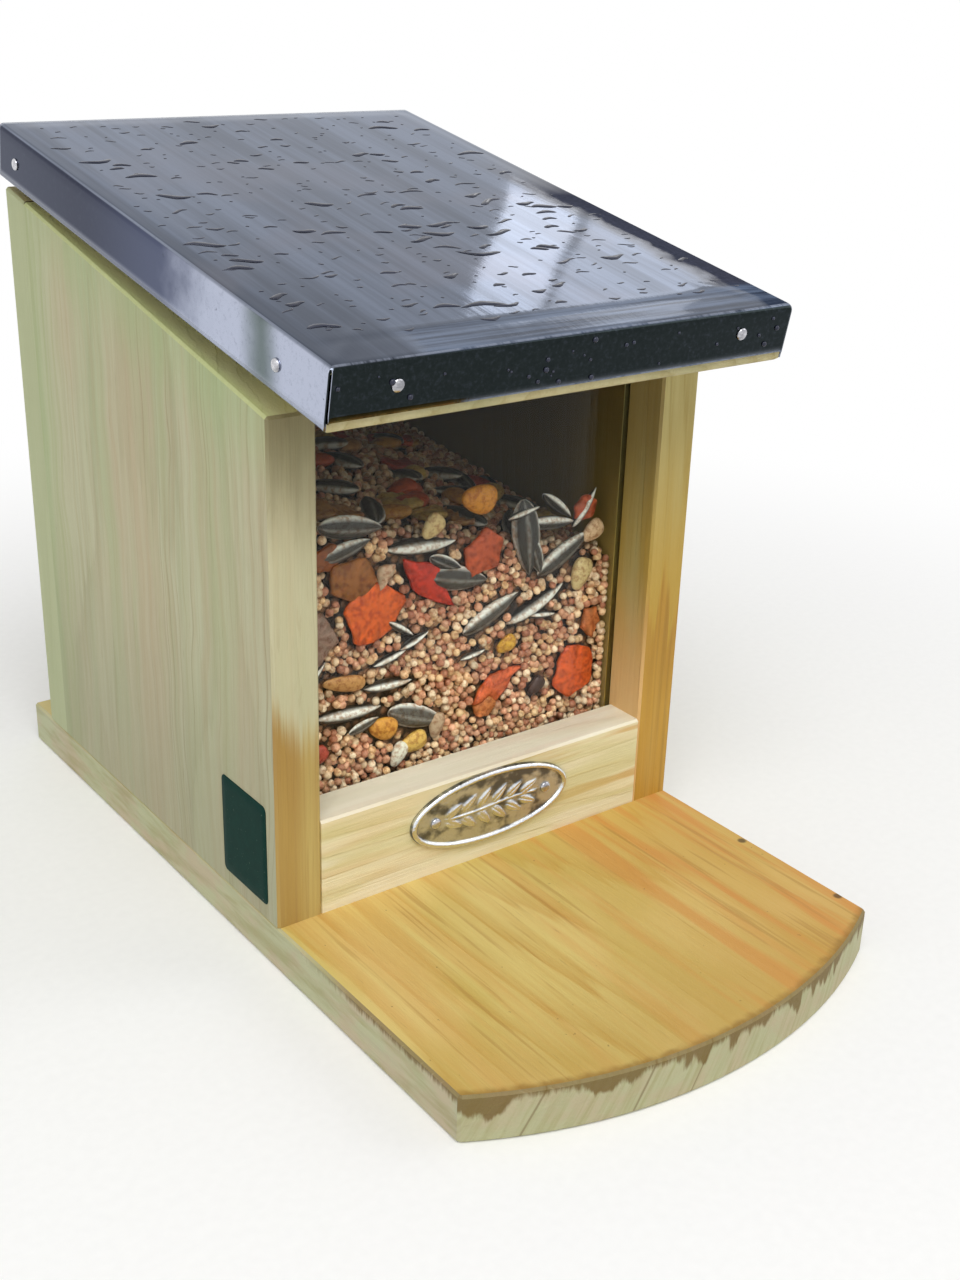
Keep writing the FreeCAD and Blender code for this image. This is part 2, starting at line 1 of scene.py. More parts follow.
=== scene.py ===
# %% [markdown]
# # A lift-lid squirrel feeder
# The real object is a small box of pressure-treated pine with a clear front, filled with seed. A
# landing board carries it, and a pine lid under a folded zinc sheet hinges at the back, so that a
# squirrel can lift it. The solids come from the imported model, and this lesson gives them their looks.

import bpy
import numpy as np
from mathutils import Matrix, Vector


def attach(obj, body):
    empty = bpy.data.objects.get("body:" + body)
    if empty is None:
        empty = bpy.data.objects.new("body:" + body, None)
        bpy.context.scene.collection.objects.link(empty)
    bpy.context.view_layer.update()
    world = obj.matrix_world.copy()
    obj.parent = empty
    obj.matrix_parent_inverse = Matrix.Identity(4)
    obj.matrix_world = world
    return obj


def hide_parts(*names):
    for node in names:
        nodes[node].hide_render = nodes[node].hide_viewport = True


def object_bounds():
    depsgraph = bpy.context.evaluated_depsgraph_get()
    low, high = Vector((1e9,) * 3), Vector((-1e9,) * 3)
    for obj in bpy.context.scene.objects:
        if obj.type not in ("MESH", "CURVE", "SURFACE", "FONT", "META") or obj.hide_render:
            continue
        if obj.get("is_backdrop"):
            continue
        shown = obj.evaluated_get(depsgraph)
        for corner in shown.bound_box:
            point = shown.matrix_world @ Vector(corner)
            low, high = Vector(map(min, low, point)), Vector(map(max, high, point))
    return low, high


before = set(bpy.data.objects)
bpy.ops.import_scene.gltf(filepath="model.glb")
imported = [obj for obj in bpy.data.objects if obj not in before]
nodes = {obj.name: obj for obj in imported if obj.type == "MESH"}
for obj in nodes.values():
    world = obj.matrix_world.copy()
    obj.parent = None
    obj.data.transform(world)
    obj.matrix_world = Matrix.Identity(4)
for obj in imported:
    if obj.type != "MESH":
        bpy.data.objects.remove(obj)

MM = 0.001
cad_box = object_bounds()
dice = np.random.default_rng(11)
print("frame:", len(nodes), "nodes, box", [round(v / MM, 1) for v in (*cad_box[0], *cad_box[1])], "mm")

# %% [markdown]
# ## Camera
# A camera that is matched to the picture makes every later comparison simple. It stands to the left
# of the front and looks down, with a slight roll. Its pose is written as the two angles of the view
# and the roll, because those can be read and changed more easily than a matrix.

# %% Camera
AZIMUTH, ELEVATION, ROLL = np.radians([-37.27, 23.26, 1.80])
CAMERA_PLACE = np.array([-215.09, -305.98, 222.22]) * MM
FOCAL_PIXELS, LONG_SIDE, SENSOR = 1575.18, 1280, 36.0


def place_by_axes(thing, x_axis, z_axis, where):
    """Put an object at a point with its x and z axes along two square directions."""
    pose = np.eye(4)
    pose[:3] = np.stack([x_axis, np.cross(z_axis, x_axis), z_axis, where], axis=1)
    thing.matrix_world = Matrix(pose.tolist())
    bpy.context.scene.collection.objects.link(thing)


back = np.array([
    np.sin(AZIMUTH) * np.cos(ELEVATION), -np.cos(AZIMUTH) * np.cos(ELEVATION), np.sin(ELEVATION)
])
level = np.array([np.cos(AZIMUTH), np.sin(AZIMUTH), 0.0])
camera = bpy.data.objects.new("camera", bpy.data.cameras.new("camera"))
camera.data.sensor_width = SENSOR
camera.data.lens = FOCAL_PIXELS / LONG_SIDE * SENSOR
camera.data.clip_start = 0.01
place_by_axes(camera, np.cos(ROLL) * level + np.sin(ROLL) * np.cross(back, level), back, CAMERA_PLACE)
bpy.context.scene.camera = camera
bpy.context.scene.view_settings.view_transform = "Standard"
print("camera: lens", round(camera.data.lens, 2), "mm at", (CAMERA_PLACE / MM).round(1), "mm")


# %% [markdown]
# ## A small kit for finishes
# Every finish below is a tree of nodes. Written out one link at a time, such trees are long to read.
# A short class that adds a node, joins its inputs and hands back its output keeps each finish to a
# few lines that read like a recipe. The outputs can be added and multiplied like numbers.

# %% Colours and values
def tone(red, green, blue):
    """A colour given in screen values from 0 to 255, as the linear colour that the shader needs."""
    screen = np.array([red, green, blue]) / 255
    linear = np.where(screen < 0.04045, screen / 12.92, ((screen + 0.055) / 1.055) ** 2.4)
    return (*linear.tolist(), 1.0)


def sign(operation):
    """A sign of arithmetic, which adds a node of this operation to the finish of the value before it."""
    def apply(value, *others):
        return value.finish.math(operation, value, *others)
    return apply


class Value:
    """The output of a node, which can be used like a number."""
    __add__, __sub__, __mul__ = sign("ADD"), sign("SUBTRACT"), sign("MULTIPLY")
    __truediv__, __abs__ = sign("DIVIDE"), sign("ABSOLUTE")

    def __init__(self, finish, socket):
        self.finish, self.socket = finish, socket

    def __rsub__(self, other):
        return self.finish.math("SUBTRACT", other, self)

    def __neg__(self):
        return self * -1.0


# %% Finish kit
class Finish:
    """A material in the making. Each method adds nodes and returns the last one's output.
    A colour is such an output or a triple of screen values."""

    def __init__(self, owner):
        self.material = bpy.data.materials.new(owner) if isinstance(owner, str) else owner
        self.material.use_nodes = True
        self.tree = self.material.node_tree
        self.tree.nodes.clear()

    def add(self, kind, inputs=None, result=0, **settings):
        """One node of this kind. Each input is a plain value or the output of another node."""
        node = self.tree.nodes.new("ShaderNode" + kind)
        for key, value in settings.items():
            setattr(node, key, value)
        for key, value in (inputs or {}).items():
            if isinstance(value, Value):
                self.tree.links.new(value.socket, node.inputs[key])
            else:
                node.inputs[key].default_value = value
        return Value(self, node.outputs[result])

    def math(self, operation, *values):
        """One step of arithmetic on numbers and outputs."""
        return self.add("Math", dict(enumerate(values)), operation=operation)

    def most(self, first, *others):
        """The largest of some values."""
        for other in others:
            first = self.math("MAXIMUM", first, other)
        return first

    def least(self, first, *others):
        """The smallest of some values."""
        for other in others:
            first = self.math("MINIMUM", first, other)
        return first

    def times(self, vector, scale):
        """The vector multiplied by one number, or by one for each of x, y and z."""
        factors = np.broadcast_to(scale, 3).tolist()
        return self.add("VectorMath", {0: vector, 1: factors}, operation="MULTIPLY")

    def join(self, x, y, z):
        """One vector from three values."""
        return self.add("CombineXYZ", {0: x, 1: y, 2: z})

    def parts(self, vector):
        """The x, y and z of a vector."""
        outputs = self.add("SeparateXYZ", {0: vector}).socket.node.outputs
        return [Value(self, output) for output in outputs]

    def length(self, x, y):
        """How far the point (x, y) lies from zero."""
        return self.add("VectorMath", {0: self.join(x, y, 0.0)}, "Value", operation="LENGTH")

    def noise(self, vector, scale, detail=2.0, rough=0.5):
        """Smooth noise from 0 to 1 with about as many patches to the unit as the scale says."""
        inputs = {"Vector": self.times(vector, scale), "Scale": 1.0, "Detail": detail, "Roughness": rough}
        return self.add("TexNoise", inputs)

    def step(self, value, low, high):
        """Rises smoothly from 0 to 1 as the value goes from low to high, or falls if high is less."""
        inputs = {"Value": value, "From Min": low, "From Max": high}
        return self.add("MapRange", inputs, interpolation_type="SMOOTHSTEP")

    def patches(self, vector, scale, low, high):
        """Smooth patches where the noise passes from low to high."""
        return self.step(self.noise(vector, scale, 3.0), low, high)

    def mix(self, share, first, second, blend="MIX"):
        """From the first colour to the second by the share."""
        first, second = (tone(*end) if isinstance(end, tuple) else end for end in (first, second))
        return self.add("Mix", {0: share, 6: first, 7: second}, 2, data_type="RGBA", blend_type=blend)

    def stain(self, colour, *layers):
        """Lay more colours over the first. Each layer has a share, a mask and a colour."""
        for share, mask, over in layers:
            colour = self.mix(mask * share, colour, over)
        return colour

    def curve(self, value, *points):
        """A grey that runs straight between the given (input, output) points."""
        output = self.add("ValToRGB", {"Fac": value})
        ramp = output.socket.node.color_ramp
        for _ in points[2:]:
            ramp.elements.new(0.5)
        for element, (where, height) in zip(ramp.elements, points):
            element.position = where
            element.color = (height, height, height, 1)
        return output

    def place(self):
        """The point in millimetres, as one vector."""
        return self.times(self.add("TexCoord", result="Object"), 1 / MM)

    def facing(self):
        """The x, y and z of the direction that the surface faces, in the piece's own axes."""
        return self.parts(self.add("TexCoord", result="Normal"))

    def show(self, shader):
        """Join the last shader to the output of the material, or of the world."""
        kind = "World" if isinstance(self.material, bpy.types.World) else "Material"
        end = self.tree.nodes.new("ShaderNodeOutput" + kind)
        self.tree.links.new(shader.socket, end.inputs["Surface"])
        return self.material

    def surface(self, inputs, relief=None, depth=0.0):
        """The finished shader, with an optional relief of that depth in millimetres."""
        if relief is not None:
            inputs["Normal"] = self.add("Bump", {"Height": relief, "Distance": depth * MM})
        return self.show(self.add("BsdfPrincipled", inputs))


# %% Dressing the solids
def dress(finish, *names):
    """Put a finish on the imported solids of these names."""
    for name in names:
        nodes[name].data.materials[0] = finish
    print("finish", finish.name, "on", ", ".join(names))


# %% [markdown]
# ## A plain studio
# The picture has a white ground and soft, even light. A white sky for the camera and for mirrors,
# with a dimmer one for the light itself, keeps colours as they are written. A broad lamp stands
# above the front, weaker ones to the left and right. Two small bright cards behind the right side are
# there for the metal, because a mirror needs something to show.

# %% Sky and floor
SKY_LIGHT = 0.50
FLOOR_SIZE = 9000.0
CLEAR_OF_SHADOW = (170.0, 430.0)
WHITE = (1, 1, 1, 1)


def seen_white(finish):
    """One for rays from the camera, from mirrors and through glass, and zero for plain light."""
    kinds = ("Is Camera Ray", "Is Glossy Ray", "Is Transmission Ray")
    return finish.most(*(finish.add("LightPath", result=kind) for kind in kinds))


world = bpy.data.worlds.new("white_studio")
sky = Finish(world)
sky.show(sky.add("Background", {"Strength": sky.most(seen_white(sky), SKY_LIGHT), "Color": WHITE}))
bpy.context.scene.world = world

paper = Finish("white_paper")
point = paper.place()
far = paper.step(paper.length(*paper.parts(point)[:2]), *CLEAR_OF_SHADOW) * seen_white(paper)
fibres = paper.mix(paper.noise(point, 0.4), (245, 245, 244), (250, 250, 249))
matt = paper.add("BsdfDiffuse", {"Color": fibres})
glow = paper.add("Emission", {"Color": WHITE})

corners = np.array([[-1, -1, 0], [1, -1, 0], [1, 1, 0], [-1, 1, 0]]) * FLOOR_SIZE / 2 * MM
floor_mesh = bpy.data.meshes.new("floor")
floor_mesh.from_pydata(corners.tolist(), [], [(0, 1, 2, 3)])
floor_mesh.materials.append(paper.show(paper.add("MixShader", {0: far, 1: matt, 2: glow})))
floor = bpy.data.objects.new("floor", floor_mesh)
bpy.context.scene.collection.objects.link(floor)
floor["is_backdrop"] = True
print("floor:", FLOOR_SIZE / 1000, "m wide")


# %% Lamps
def lamp(name, where, target, width, height, power):
    """A soft rectangular lamp at one point that faces another, both in millimetres."""
    data = bpy.data.lights.new(name, "AREA")
    data.shape, data.size, data.size_y, data.energy = "RECTANGLE", width * MM, height * MM, power
    away = np.subtract(where, target) / np.linalg.norm(np.subtract(where, target))
    side = np.cross([0.0, 0.0, 1.0], away)
    place_by_axes(bpy.data.objects.new(name, data), side / np.linalg.norm(side), away, np.array(where) * MM)
    print("lamp", name, power, "W")


MIDDLE, ROOF_MIDDLE = (0, 0, 80), (0, 10, 165)
lamp("front_lamp", (-480, -850, 1450), MIDDLE, 1200, 900, 17.0)
lamp("left_lamp", (-1500, -300, 700), MIDDLE, 900, 900, 1.5)
lamp("right_lamp", (1300, -600, 900), MIDDLE, 900, 900, 4.0)
lamp("roof_card_near", (578, 592, 555), ROOF_MIDDLE, 57, 112, 0.040)
lamp("roof_card_far", (644, 527, 555), ROOF_MIDDLE, 113, 112, 0.045)


# %% [markdown]
# ## Sawn pine
# Each board was sawn from a log, so its faces cut through year rings. A picture of stripes would not
# meet at the edges of a board. Rings that are worked out in space do: the distance from the log's
# pith, bent by slow noise, is cut into years, each fading from pale early wood to darker late wood.
# Fine fibres run along the grain. Weather comes on top, and it differs from board to board, so each
# board adds its own stains.

# %% Pine recipe
def pine(name, grain, pith, year, pale, late, weather, strength=0.6):
    """Pine with its grain along one axis and its pith at two distances across it, all in millimetres."""
    wood = Finish(name)
    x, y, z = wood.parts(wood.place())
    across, deep, along = {"X": (y, z, x), "Y": (x, z, y), "Z": (x, y, z)}[grain]
    grain_space = wood.join(across, deep, along)
    wander = wood.noise(grain_space, (0.020, 0.020, 0.007), 1.0)
    ripple = wood.noise(grain_space, (0.30, 0.30, 0.012))
    from_pith = wood.length(across - pith[0], deep - pith[1])
    age = wood.math("FRACT", from_pith / year + wander * 5.0 + ripple * 0.7)
    ring = wood.curve(age, (0.0, 0.15), (0.4, 0.0), (0.8, 0.7), (0.92, 1.0), (1.0, 0.15))
    fibre = wood.noise(grain_space, (1.5, 1.5, 0.04), 4.0, 0.7)
    streak = wood.noise(grain_space, (0.32, 0.32, 0.008), 3.0, 0.6)
    pores = wood.patches(grain_space, (1.7, 1.7, 0.10), 0.68, 0.78)
    share = ring * strength + (fibre - 0.5) * 0.8 + (streak - 0.45) * 1.1
    colour = wood.stain(wood.mix(share, pale, late), (0.35, pores, (104, 82, 52)))
    colour = weather(wood, colour, (x, y, z), grain_space)
    inputs = {"Base Color": colour, "Roughness": fibre * 0.25 + 0.5, "Specular IOR Level": 0.3}
    return wood.surface(inputs, fibre * 0.7 + ring * 0.3, 0.28)


# %% Landing board
ARC_RADIUS, ARC_MIDDLE, BASE_TOP = 126.2, 8.2, 12.0
NICKS = [(59.6, -61.5), (60.2, -94.1)]
CRACKS = (-50.1, -25.8, -11.0)


def board_weather(wood, colour, place, grain_space):
    """Orange streaks on the damp top, pale sawn edges with three cracks, and drips down the bow."""
    x, y, z = place
    point = wood.join(x, y, z)
    _, face_y, face_z = wood.facing()
    right = wood.step(x, -15.0, 45.0)
    fine = wood.patches(grain_space, (0.15, 0.15, 0.011), 0.46, 0.62)
    dots = wood.patches(point, (0.6, 0.5, 0.5), 0.72, 0.76)
    nick = wood.least(*(wood.length(x - nick_x, y - nick_y) for nick_x, nick_y in NICKS))
    bow = wood.noise(grain_space, 0.3) * 3.0 + wood.length(x, y - ARC_MIDDLE)
    rim = wood.step(bow, ARC_RADIUS - 1.4, ARC_RADIUS + 1.2) * wood.step(y, -90.0, -102.0)
    colour = wood.stain(
        colour,
        (0.45, wood.patches(grain_space, (0.05, 0.05, 0.012), 0.45, 0.70), (224, 192, 124)),
        (0.5, wood.patches(point, (0.03, 0.02, 0.02), 0.40, 0.66), (190, 168, 78)),
        (0.45, wood.step(y, -72.0, -116.0), (174, 138, 60)),
        (0.35, right, (208, 152, 76)),
        (0.85, fine * (right * 0.6 + 0.25), (206, 140, 68)),
        (0.42, wood.patches(grain_space, (0.55, 0.55, 0.02), 0.58, 0.70), (166, 120, 54)),
        (0.5, dots, (92, 70, 34)),
        (0.8, wood.step(nick - dots * 0.4, 1.5, 0.7), (64, 48, 24)),
        (0.75, rim, (140, 104, 42)),
        (0.6, wood.step(y, 90.0, 97.0), (198, 190, 140)),
    )
    edge, front = wood.step(face_z, 0.95, 0.6), wood.step(face_y, -0.3, -0.6)
    slant = x - z * 0.45
    tooth = wood.noise(wood.join(slant, y, z), (0.7, 0.05, 0.05), 3.0, 0.6)
    crack = wood.least(*(abs(slant - at) for at in CRACKS)) + tooth * 0.7
    blotch = wood.noise(point, (0.10, 0.06, 0.12), 3.0, 0.6)
    sawn = wood.stain(
        wood.mix(wood.step(blotch, 0.36, 0.60), (188, 178, 154), (182, 188, 156)),
        (0.6, wood.step(tooth, 0.42, 0.72), (144, 142, 98)),
        (0.3, front, (190, 186, 134)),
        (0.65, wood.step(crack, 0.75, 0.45) * front, (112, 96, 62)),
    )
    way_round = wood.join(x + y, z * 0.25, 0.0)
    fringe = wood.noise(way_round, (1.5, 0.5, 1.0), 3.0, 0.65)
    drop = wood.step(wood.noise(way_round, (0.19, 0.2, 1.0)), 0.42, 0.80)
    reach = drop * 7.0 * (front * 0.9 + 0.1) + fringe * 4.0 - 0.6
    wet = wood.step(BASE_TOP - z - reach, 1.0, -1.0) * edge * wood.step(y, -30.0, -70.0)
    return wood.stain(colour, (0.85, edge, sawn), (0.85, wet, (110, 84, 26)))


base_look = ("Y", (14.0, -46.0), 6.5, (216, 194, 118), (192, 150, 70), board_weather)
dress(pine("pine_base", *base_look), "base_board")


# %% [markdown]
# The house is of the same pine. Green shows where damp sits, along the edges and under the roof. Stains
# climb from the landing board where water splashes. Inside the hopper the wood is painted dark, as shade.

# %% Stains and painted shade that boards share
def painted_hopper_shade(wood, colour, inward, place):
    """Painted shade on a face that looks into the hopper, darker deep inside and high up."""
    _, y, z = place
    inside = wood.step(inward, 0.5, 0.8) * wood.step(y, -17.6, -16.8)
    deep = wood.step(y, -16.0, 16.0)
    dark = wood.step(z, 70.0, 120.0) * (deep * 0.55 + 0.45)
    inside_shade_colour = wood.mix(deep, (150, 122, 66), (104, 84, 48))
    return wood.stain(colour, (0.8, inside, inside_shade_colour), (0.75, inside * dark, (44, 34, 18)))


def groove_stain(wood, colour, place):
    """Dirt in the groove that holds the pane, but not on the sloping top of the wall."""
    x, y, _ = place
    _, _, face_z = wood.facing()
    groove = wood.step(abs(x), 49.55, 49.9) * wood.step(abs(x), 58.0, 56.0)
    groove = groove * wood.step(y, -18.0, -17.6) * wood.step(y, -14.6, -15.0)
    return wood.stain(colour, (0.8, groove * wood.step(face_z, 0.7, 0.3), (52, 40, 20)))


def splash(wood, colour, place, front, top, ragged, over):
    """A streaky stain that climbs a front edge to a ragged height, darkest just under its upper edge."""
    x, _, z = place
    flat = wood.join(x, 0.0, z)
    tongue = wood.noise(flat, (0.30, 0.0, 0.012))
    streak = wood.noise(flat, (0.8, 0.0, 0.012), 3.0, 0.6)
    below = (tongue - 0.5) * ragged + top + streak * 16.0 - z
    over = wood.stain(over, (0.8, wood.step(streak, 0.40, 0.70), (164, 122, 44)))
    tide = wood.step(below, -3.0, 6.0) * wood.step(below, 34.0, 8.0)
    climbed = wood.step(below, -5.0, 8.0)
    return wood.stain(colour, (0.8, climbed * front, over), (0.3, tide * front, (140, 98, 40)))


# %% Left wall
WALL_TOP, WALL_TOP_RISE = 142.07, 0.2217


def left_weather(wood, colour, place, grain_space):
    """Soft tan and green zones with thin brown lines, green along the edges and a splash at the front.
    Painted light on the sloping top, painted shade from the roof at the top of the front edge, and
    painted shade inside the hopper.
    """
    x, y, z = place
    face_x, face_y, face_z = wood.facing()
    front = wood.step(face_y, -0.3, -0.7)
    sway = wood.noise(grain_space, (0.02, 0.02, 0.016)) * 16.0 + y
    swayed = wood.join(x, sway, z)
    tan = wood.patches(swayed, (0.5, 0.5, 0.007), 0.44, 0.68)
    lines = wood.patches(swayed, (1.2, 1.1, 0.008), 0.56, 0.70) * wood.step(y, 70.0, 5.0)
    rear = wood.step(tan * 10.0 + sway, 82.0, 112.0)
    under_top = wood.step(y * WALL_TOP_RISE + WALL_TOP - z, 22.0, 0.0)
    # Painted light on the sloping top, paler inwards where the roof's shadow falls.
    painted_light_top = wood.mix(wood.step(x, -61.0, -57.5), (204, 210, 148), (232, 232, 186))
    # Painted shade from the roof, running down the top of the front edge.
    eave_shade_noise = wood.noise(wood.join(x, 0.0, z), (0.16, 0.0, 0.03), 3.0)
    colour = wood.stain(
        colour,
        (0.5, wood.patches(swayed, (0.05, 0.035, 0.008), 0.40, 0.66), (190, 170, 140)),
        (0.32, tan, (176, 154, 118)),
        (0.42, wood.patches(swayed, (0.12, 0.10, 0.008), 0.42, 0.70), (160, 174, 126)),
        (0.42, lines, (134, 114, 80)),
        (0.5, wood.most(rear, under_top * 0.7), (158, 182, 126)),
        (0.4, wood.step(z, 90.0, 20.0), (144, 142, 116)),
        (0.7, wood.step(face_z, 0.3, 0.8), painted_light_top),
        (0.6, front, (198, 192, 154)),
        (0.8, wood.step(eave_shade_noise * 30.0 + z, 112.0, 156.0) * front, (106, 94, 62)),
    )
    over = wood.mix(wood.step(x, -57.5, -52.0), (176, 136, 46), (202, 176, 96))
    colour = splash(wood, colour, place, front, x * -0.6 + 23.0, 24.0, over)
    return groove_stain(wood, painted_hopper_shade(wood, colour, face_x, place), place)


left_look = ("Z", (-190.0, 40.0), 5.5, (190, 189, 156), (158, 153, 118), left_weather, 0.4)
dress(pine("pine_left_wall", *left_look), "left_side_wall")


# %% Right wall
def right_weather(wood, colour, place, grain_space):
    """Greenish at the top, with a yellow-orange splash high up the front edge. The inner face carries
    painted light low down and painted shade from the roof high up, and painted shade inside the hopper.
    """
    _, _, z = place
    face_x, face_y, _ = wood.facing()
    outer, inner = wood.step(face_x, 0.3, 0.7), wood.step(face_x, -0.3, -0.7)
    green = outer * wood.patches(grain_space, (0.10, 0.10, 0.010), 0.42, 0.68)
    low = wood.step(z, 138.0, 60.0) * (1.0 - outer * 0.75)
    low = low * wood.patches(grain_space, (0.22, 0.10, 0.018), 0.22, 0.55)
    colour = wood.stain(colour, (0.6, green, (158, 158, 112)), (0.85, low, (186, 148, 52)))
    colour = splash(wood, colour, place, wood.step(face_y, -0.3, -0.7), 62.0, 60.0, (198, 152, 60))
    # Inner face: painted light below, painted shade from the roof above.
    colour = wood.stain(
        colour,
        (0.8, inner * wood.step(z, 84.0, 40.0), (236, 196, 138)),
        (0.6, inner * wood.step(z, 84.0, 125.0), (124, 98, 50)),
    )
    return groove_stain(wood, painted_hopper_shade(wood, colour, -face_x, place), place)


right_look = ("Z", (96.0, -60.0), 6.0, (186, 174, 116), (162, 144, 82), right_weather)
dress(pine("pine_right_wall", *right_look), "right_side_wall")


# %% Rail, back and roof board
def rail_weather(wood, colour, place, grain_space):
    """A few orange streaks along the board, a faint green cast, pale patches and a pale top."""
    x, _, _ = place
    _, _, face_z = wood.facing()
    streak = wood.patches(grain_space, (0.22, 0.22, 0.020), 0.48, 0.64)
    return wood.stain(
        colour,
        (0.75, streak * (wood.step(x, -10.0, 40.0) * 0.7 + 0.3), (206, 158, 76)),
        (0.5, wood.patches(grain_space, (0.14, 0.14, 0.014), 0.44, 0.62), (206, 200, 136)),
        (0.5, wood.patches(grain_space, (0.10, 0.10, 0.012), 0.52, 0.66), (246, 240, 216)),
        (0.6, wood.step(face_z, 0.4, 0.8), (246, 240, 226)),
    )


def back_weather(wood, colour, place, grain_space):
    """Green in broad, soft patches and on the left edge, and painted shade inside the hopper."""
    face_x, face_y, _ = wood.facing()
    colour = wood.stain(
        colour,
        (0.5, wood.patches(grain_space, (0.04, 0.04, 0.012), 0.4, 0.7), (150, 152, 108)),
        (0.75, wood.step(face_x, -0.4, -0.8), (177, 187, 148)),
    )
    return painted_hopper_shade(wood, colour, -face_y, place)


back_look = ("Z", (20.0, 150.0), 6.0, (188, 180, 136), (160, 148, 100), back_weather)
rail_look = ("X", (-60.0, 70.0), 5.0, (240, 231, 192), (216, 198, 144), rail_weather, 0.5)
roof_look = ("Y", (10.0, 100.0), 6.0, (192, 182, 138), (164, 148, 98), back_weather)
dress(pine("pine_back", *back_look), "back_wall")
dress(pine("pine_rail", *rail_look), "front_rail")
dress(pine("pine_roof", *roof_look), "roof_board")


# %% [markdown]
# ## Building surfaces
# The new pieces are surfaces that numpy works out. A grid of points becomes quads. A closed form is a
# stack of rings with a fan of triangles at each end. A form can be set down many times. These helpers
# number the faces, so that the pieces need only their formulas.

# %% Faces
def grid_faces(rows, columns, closed=False):
    """Quads of a grid that is numbered row by row. A closed one joins its last column to its first."""
    here = np.arange(columns if closed else columns - 1)
    beside = (here + 1) % columns
    low = np.arange(rows - 1)[:, None] * columns
    high = low + columns
    return np.stack([low + here, low + beside, high + beside, high + here], -1).reshape(-1, 4)


def pod_faces(rings, sides):
    """Faces of a closed form of rings that rise anticlockwise, with its two poles numbered last."""
    here = np.arange(sides)
    beside = (here + 1) % sides
    top = (rings - 1) * sides
    poles = np.full(sides, rings * sides)
    fans = [np.stack([beside, here, poles], 1), np.stack([top + here, top + beside, poles + 1], 1)]
    return [grid_faces(rings, sides, True), np.concatenate(fans)]


# %% Points
def round_turn(sides):
    """Evenly spaced angles once round a circle."""
    return np.linspace(0, 2 * np.pi, sides, endpoint=False)


def spun(profile, sides):
    """Points of a profile of (radius, height) pairs turned about z. Its two ends lie on the axis."""
    radius, height = np.array(profile[1:-1]).T
    turn = round_turn(sides)
    rings = np.stack([
        np.outer(radius, np.cos(turn)), np.outer(radius, np.sin(turn)), np.outer(height, np.ones(sides))
    ], -1)
    return np.concatenate([rings.reshape(-1, 3), [[0, 0, profile[0][1]], [0, 0, profile[-1][1]]]])


def axes_along(direction, count):
    """The same turn for each of some copies: it takes z to the given one of the main directions."""
    z_axis = np.array(direction, float)
    x_axis = np.abs(np.roll(z_axis, 1))
    return np.repeat(np.stack([x_axis, np.cross(z_axis, x_axis), z_axis], 1)[None], count, 0)


def copies(points, faces, axes, places):
    """One form, or one for each copy, set down many times: for each there is a 3 by 3 turn and a place."""
    count = points.shape[-2]
    forms = np.broadcast_to(points, (len(places), count, 3))
    moved = np.einsum("mij,mnj->mni", axes, forms) + places[:, None]
    shift = (np.arange(len(places)) * count)[:, None, None]
    return moved.reshape(-1, 3), [(face[None] + shift).reshape(-1, face.shape[1]) for face in faces]


def joined(*bodies):
    """Several (points, faces) bodies as one, with the faces of each shifted past the points before."""
    starts = np.cumsum([0] + [len(points) for points, _ in bodies])
    faces = [face + start for start, (_, group) in zip(starts, bodies) for face in group]
    return np.concatenate([points for points, _ in bodies]), faces


# %% Pieces
def make_piece(name, points, faces, finish, body, slot, stands_for=(), tints=None):
    """Turn points in millimetres and their faces into a smooth piece that rides on a body."""
    mesh = bpy.data.meshes.new(name)
    mesh.vertices.add(len(points))
    mesh.vertices.foreach_set("co", (points * MM).astype(np.float32).ravel())
    sizes = np.concatenate([np.full(len(face), face.shape[1]) for face in faces])
    corners = np.concatenate([face.ravel() for face in faces])
    mesh.loops.add(len(corners))
    mesh.loops.foreach_set("vertex_index", corners.astype(np.int32))
    mesh.polygons.add(len(sizes))
    mesh.polygons.foreach_set("loop_start", (np.cumsum(sizes) - sizes).astype(np.int32))
    mesh.polygons.foreach_set("use_smooth", np.ones(len(sizes), dtype=bool))
    if tints is not None:
        store = mesh.color_attributes.new("tint", "FLOAT_COLOR", "POINT")
        colours = np.column_stack([tints, np.ones(len(tints))])
        store.data.foreach_set("color", colours.astype(np.float32).ravel())
    mesh.update(calc_edges=True)
    mesh.materials.append(finish)
    piece = bpy.data.objects.new(name, mesh)
    bpy.context.scene.collection.objects.link(piece)
    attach(piece, body)
    if stands_for:
        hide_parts(*stands_for)
    triangles = int((sizes - 2).sum())
    print("piece", name, triangles, "triangles, box", points.min(0).round(1), points.max(0).round(1))
    return piece


# %% [markdown]
# ## The zinc sheet
# One sheet is bent down over the front and both sides of the roof board, with a slit at each front
# corner. It is thin, so it is never quite flat: it rises a little off the board, bends down towards
# the front edge, and creases towards the corners. One grid gives all of it. Its columns run up one
# side, across and down the other, its rows run from the back, over the front edge and down. The
# block of faces that would lie outside both bends at a corner is left out, and that is the slit.

# %% Sheet sizes and bends
HINGE_LINE = np.array([0.0, 107.7, 166.7288])
ROOF_SLOPE = np.radians(10.5)
SHEET_TOP, SHEET_FRONT, SHEET_SIDE, SHEET_REAR = 15.3, -164.8, 62.8, -2.2
SIDE_HEM, FRONT_HEM = 2.3, 3.8
SHEET_THICKNESS, BEND, SLIT_START = 0.6, 1.4, 0.35
FRONT_BAND = 13.0
BEND_STEPS, DROP_STEPS, HALF_STEPS, SLOPE_STEPS = 5, 6, 56, 126


def on_lid(points):
    """From the lid's own axes, along and square to the roof, to the axes of the whole object."""
    slope_cos, slope_sin = np.cos(ROOF_SLOPE), np.sin(ROOF_SLOPE)
    turn = np.array([[1, 0, 0], [0, slope_cos, -slope_sin], [0, slope_sin, slope_cos]])
    return points @ turn.T + HINGE_LINE


def ease(value, low, high):
    """Smooth rise from 0 at low to 1 at high."""
    share = np.clip((value - low) / (high - low), 0, 1)
    return share * share * (3 - 2 * share)


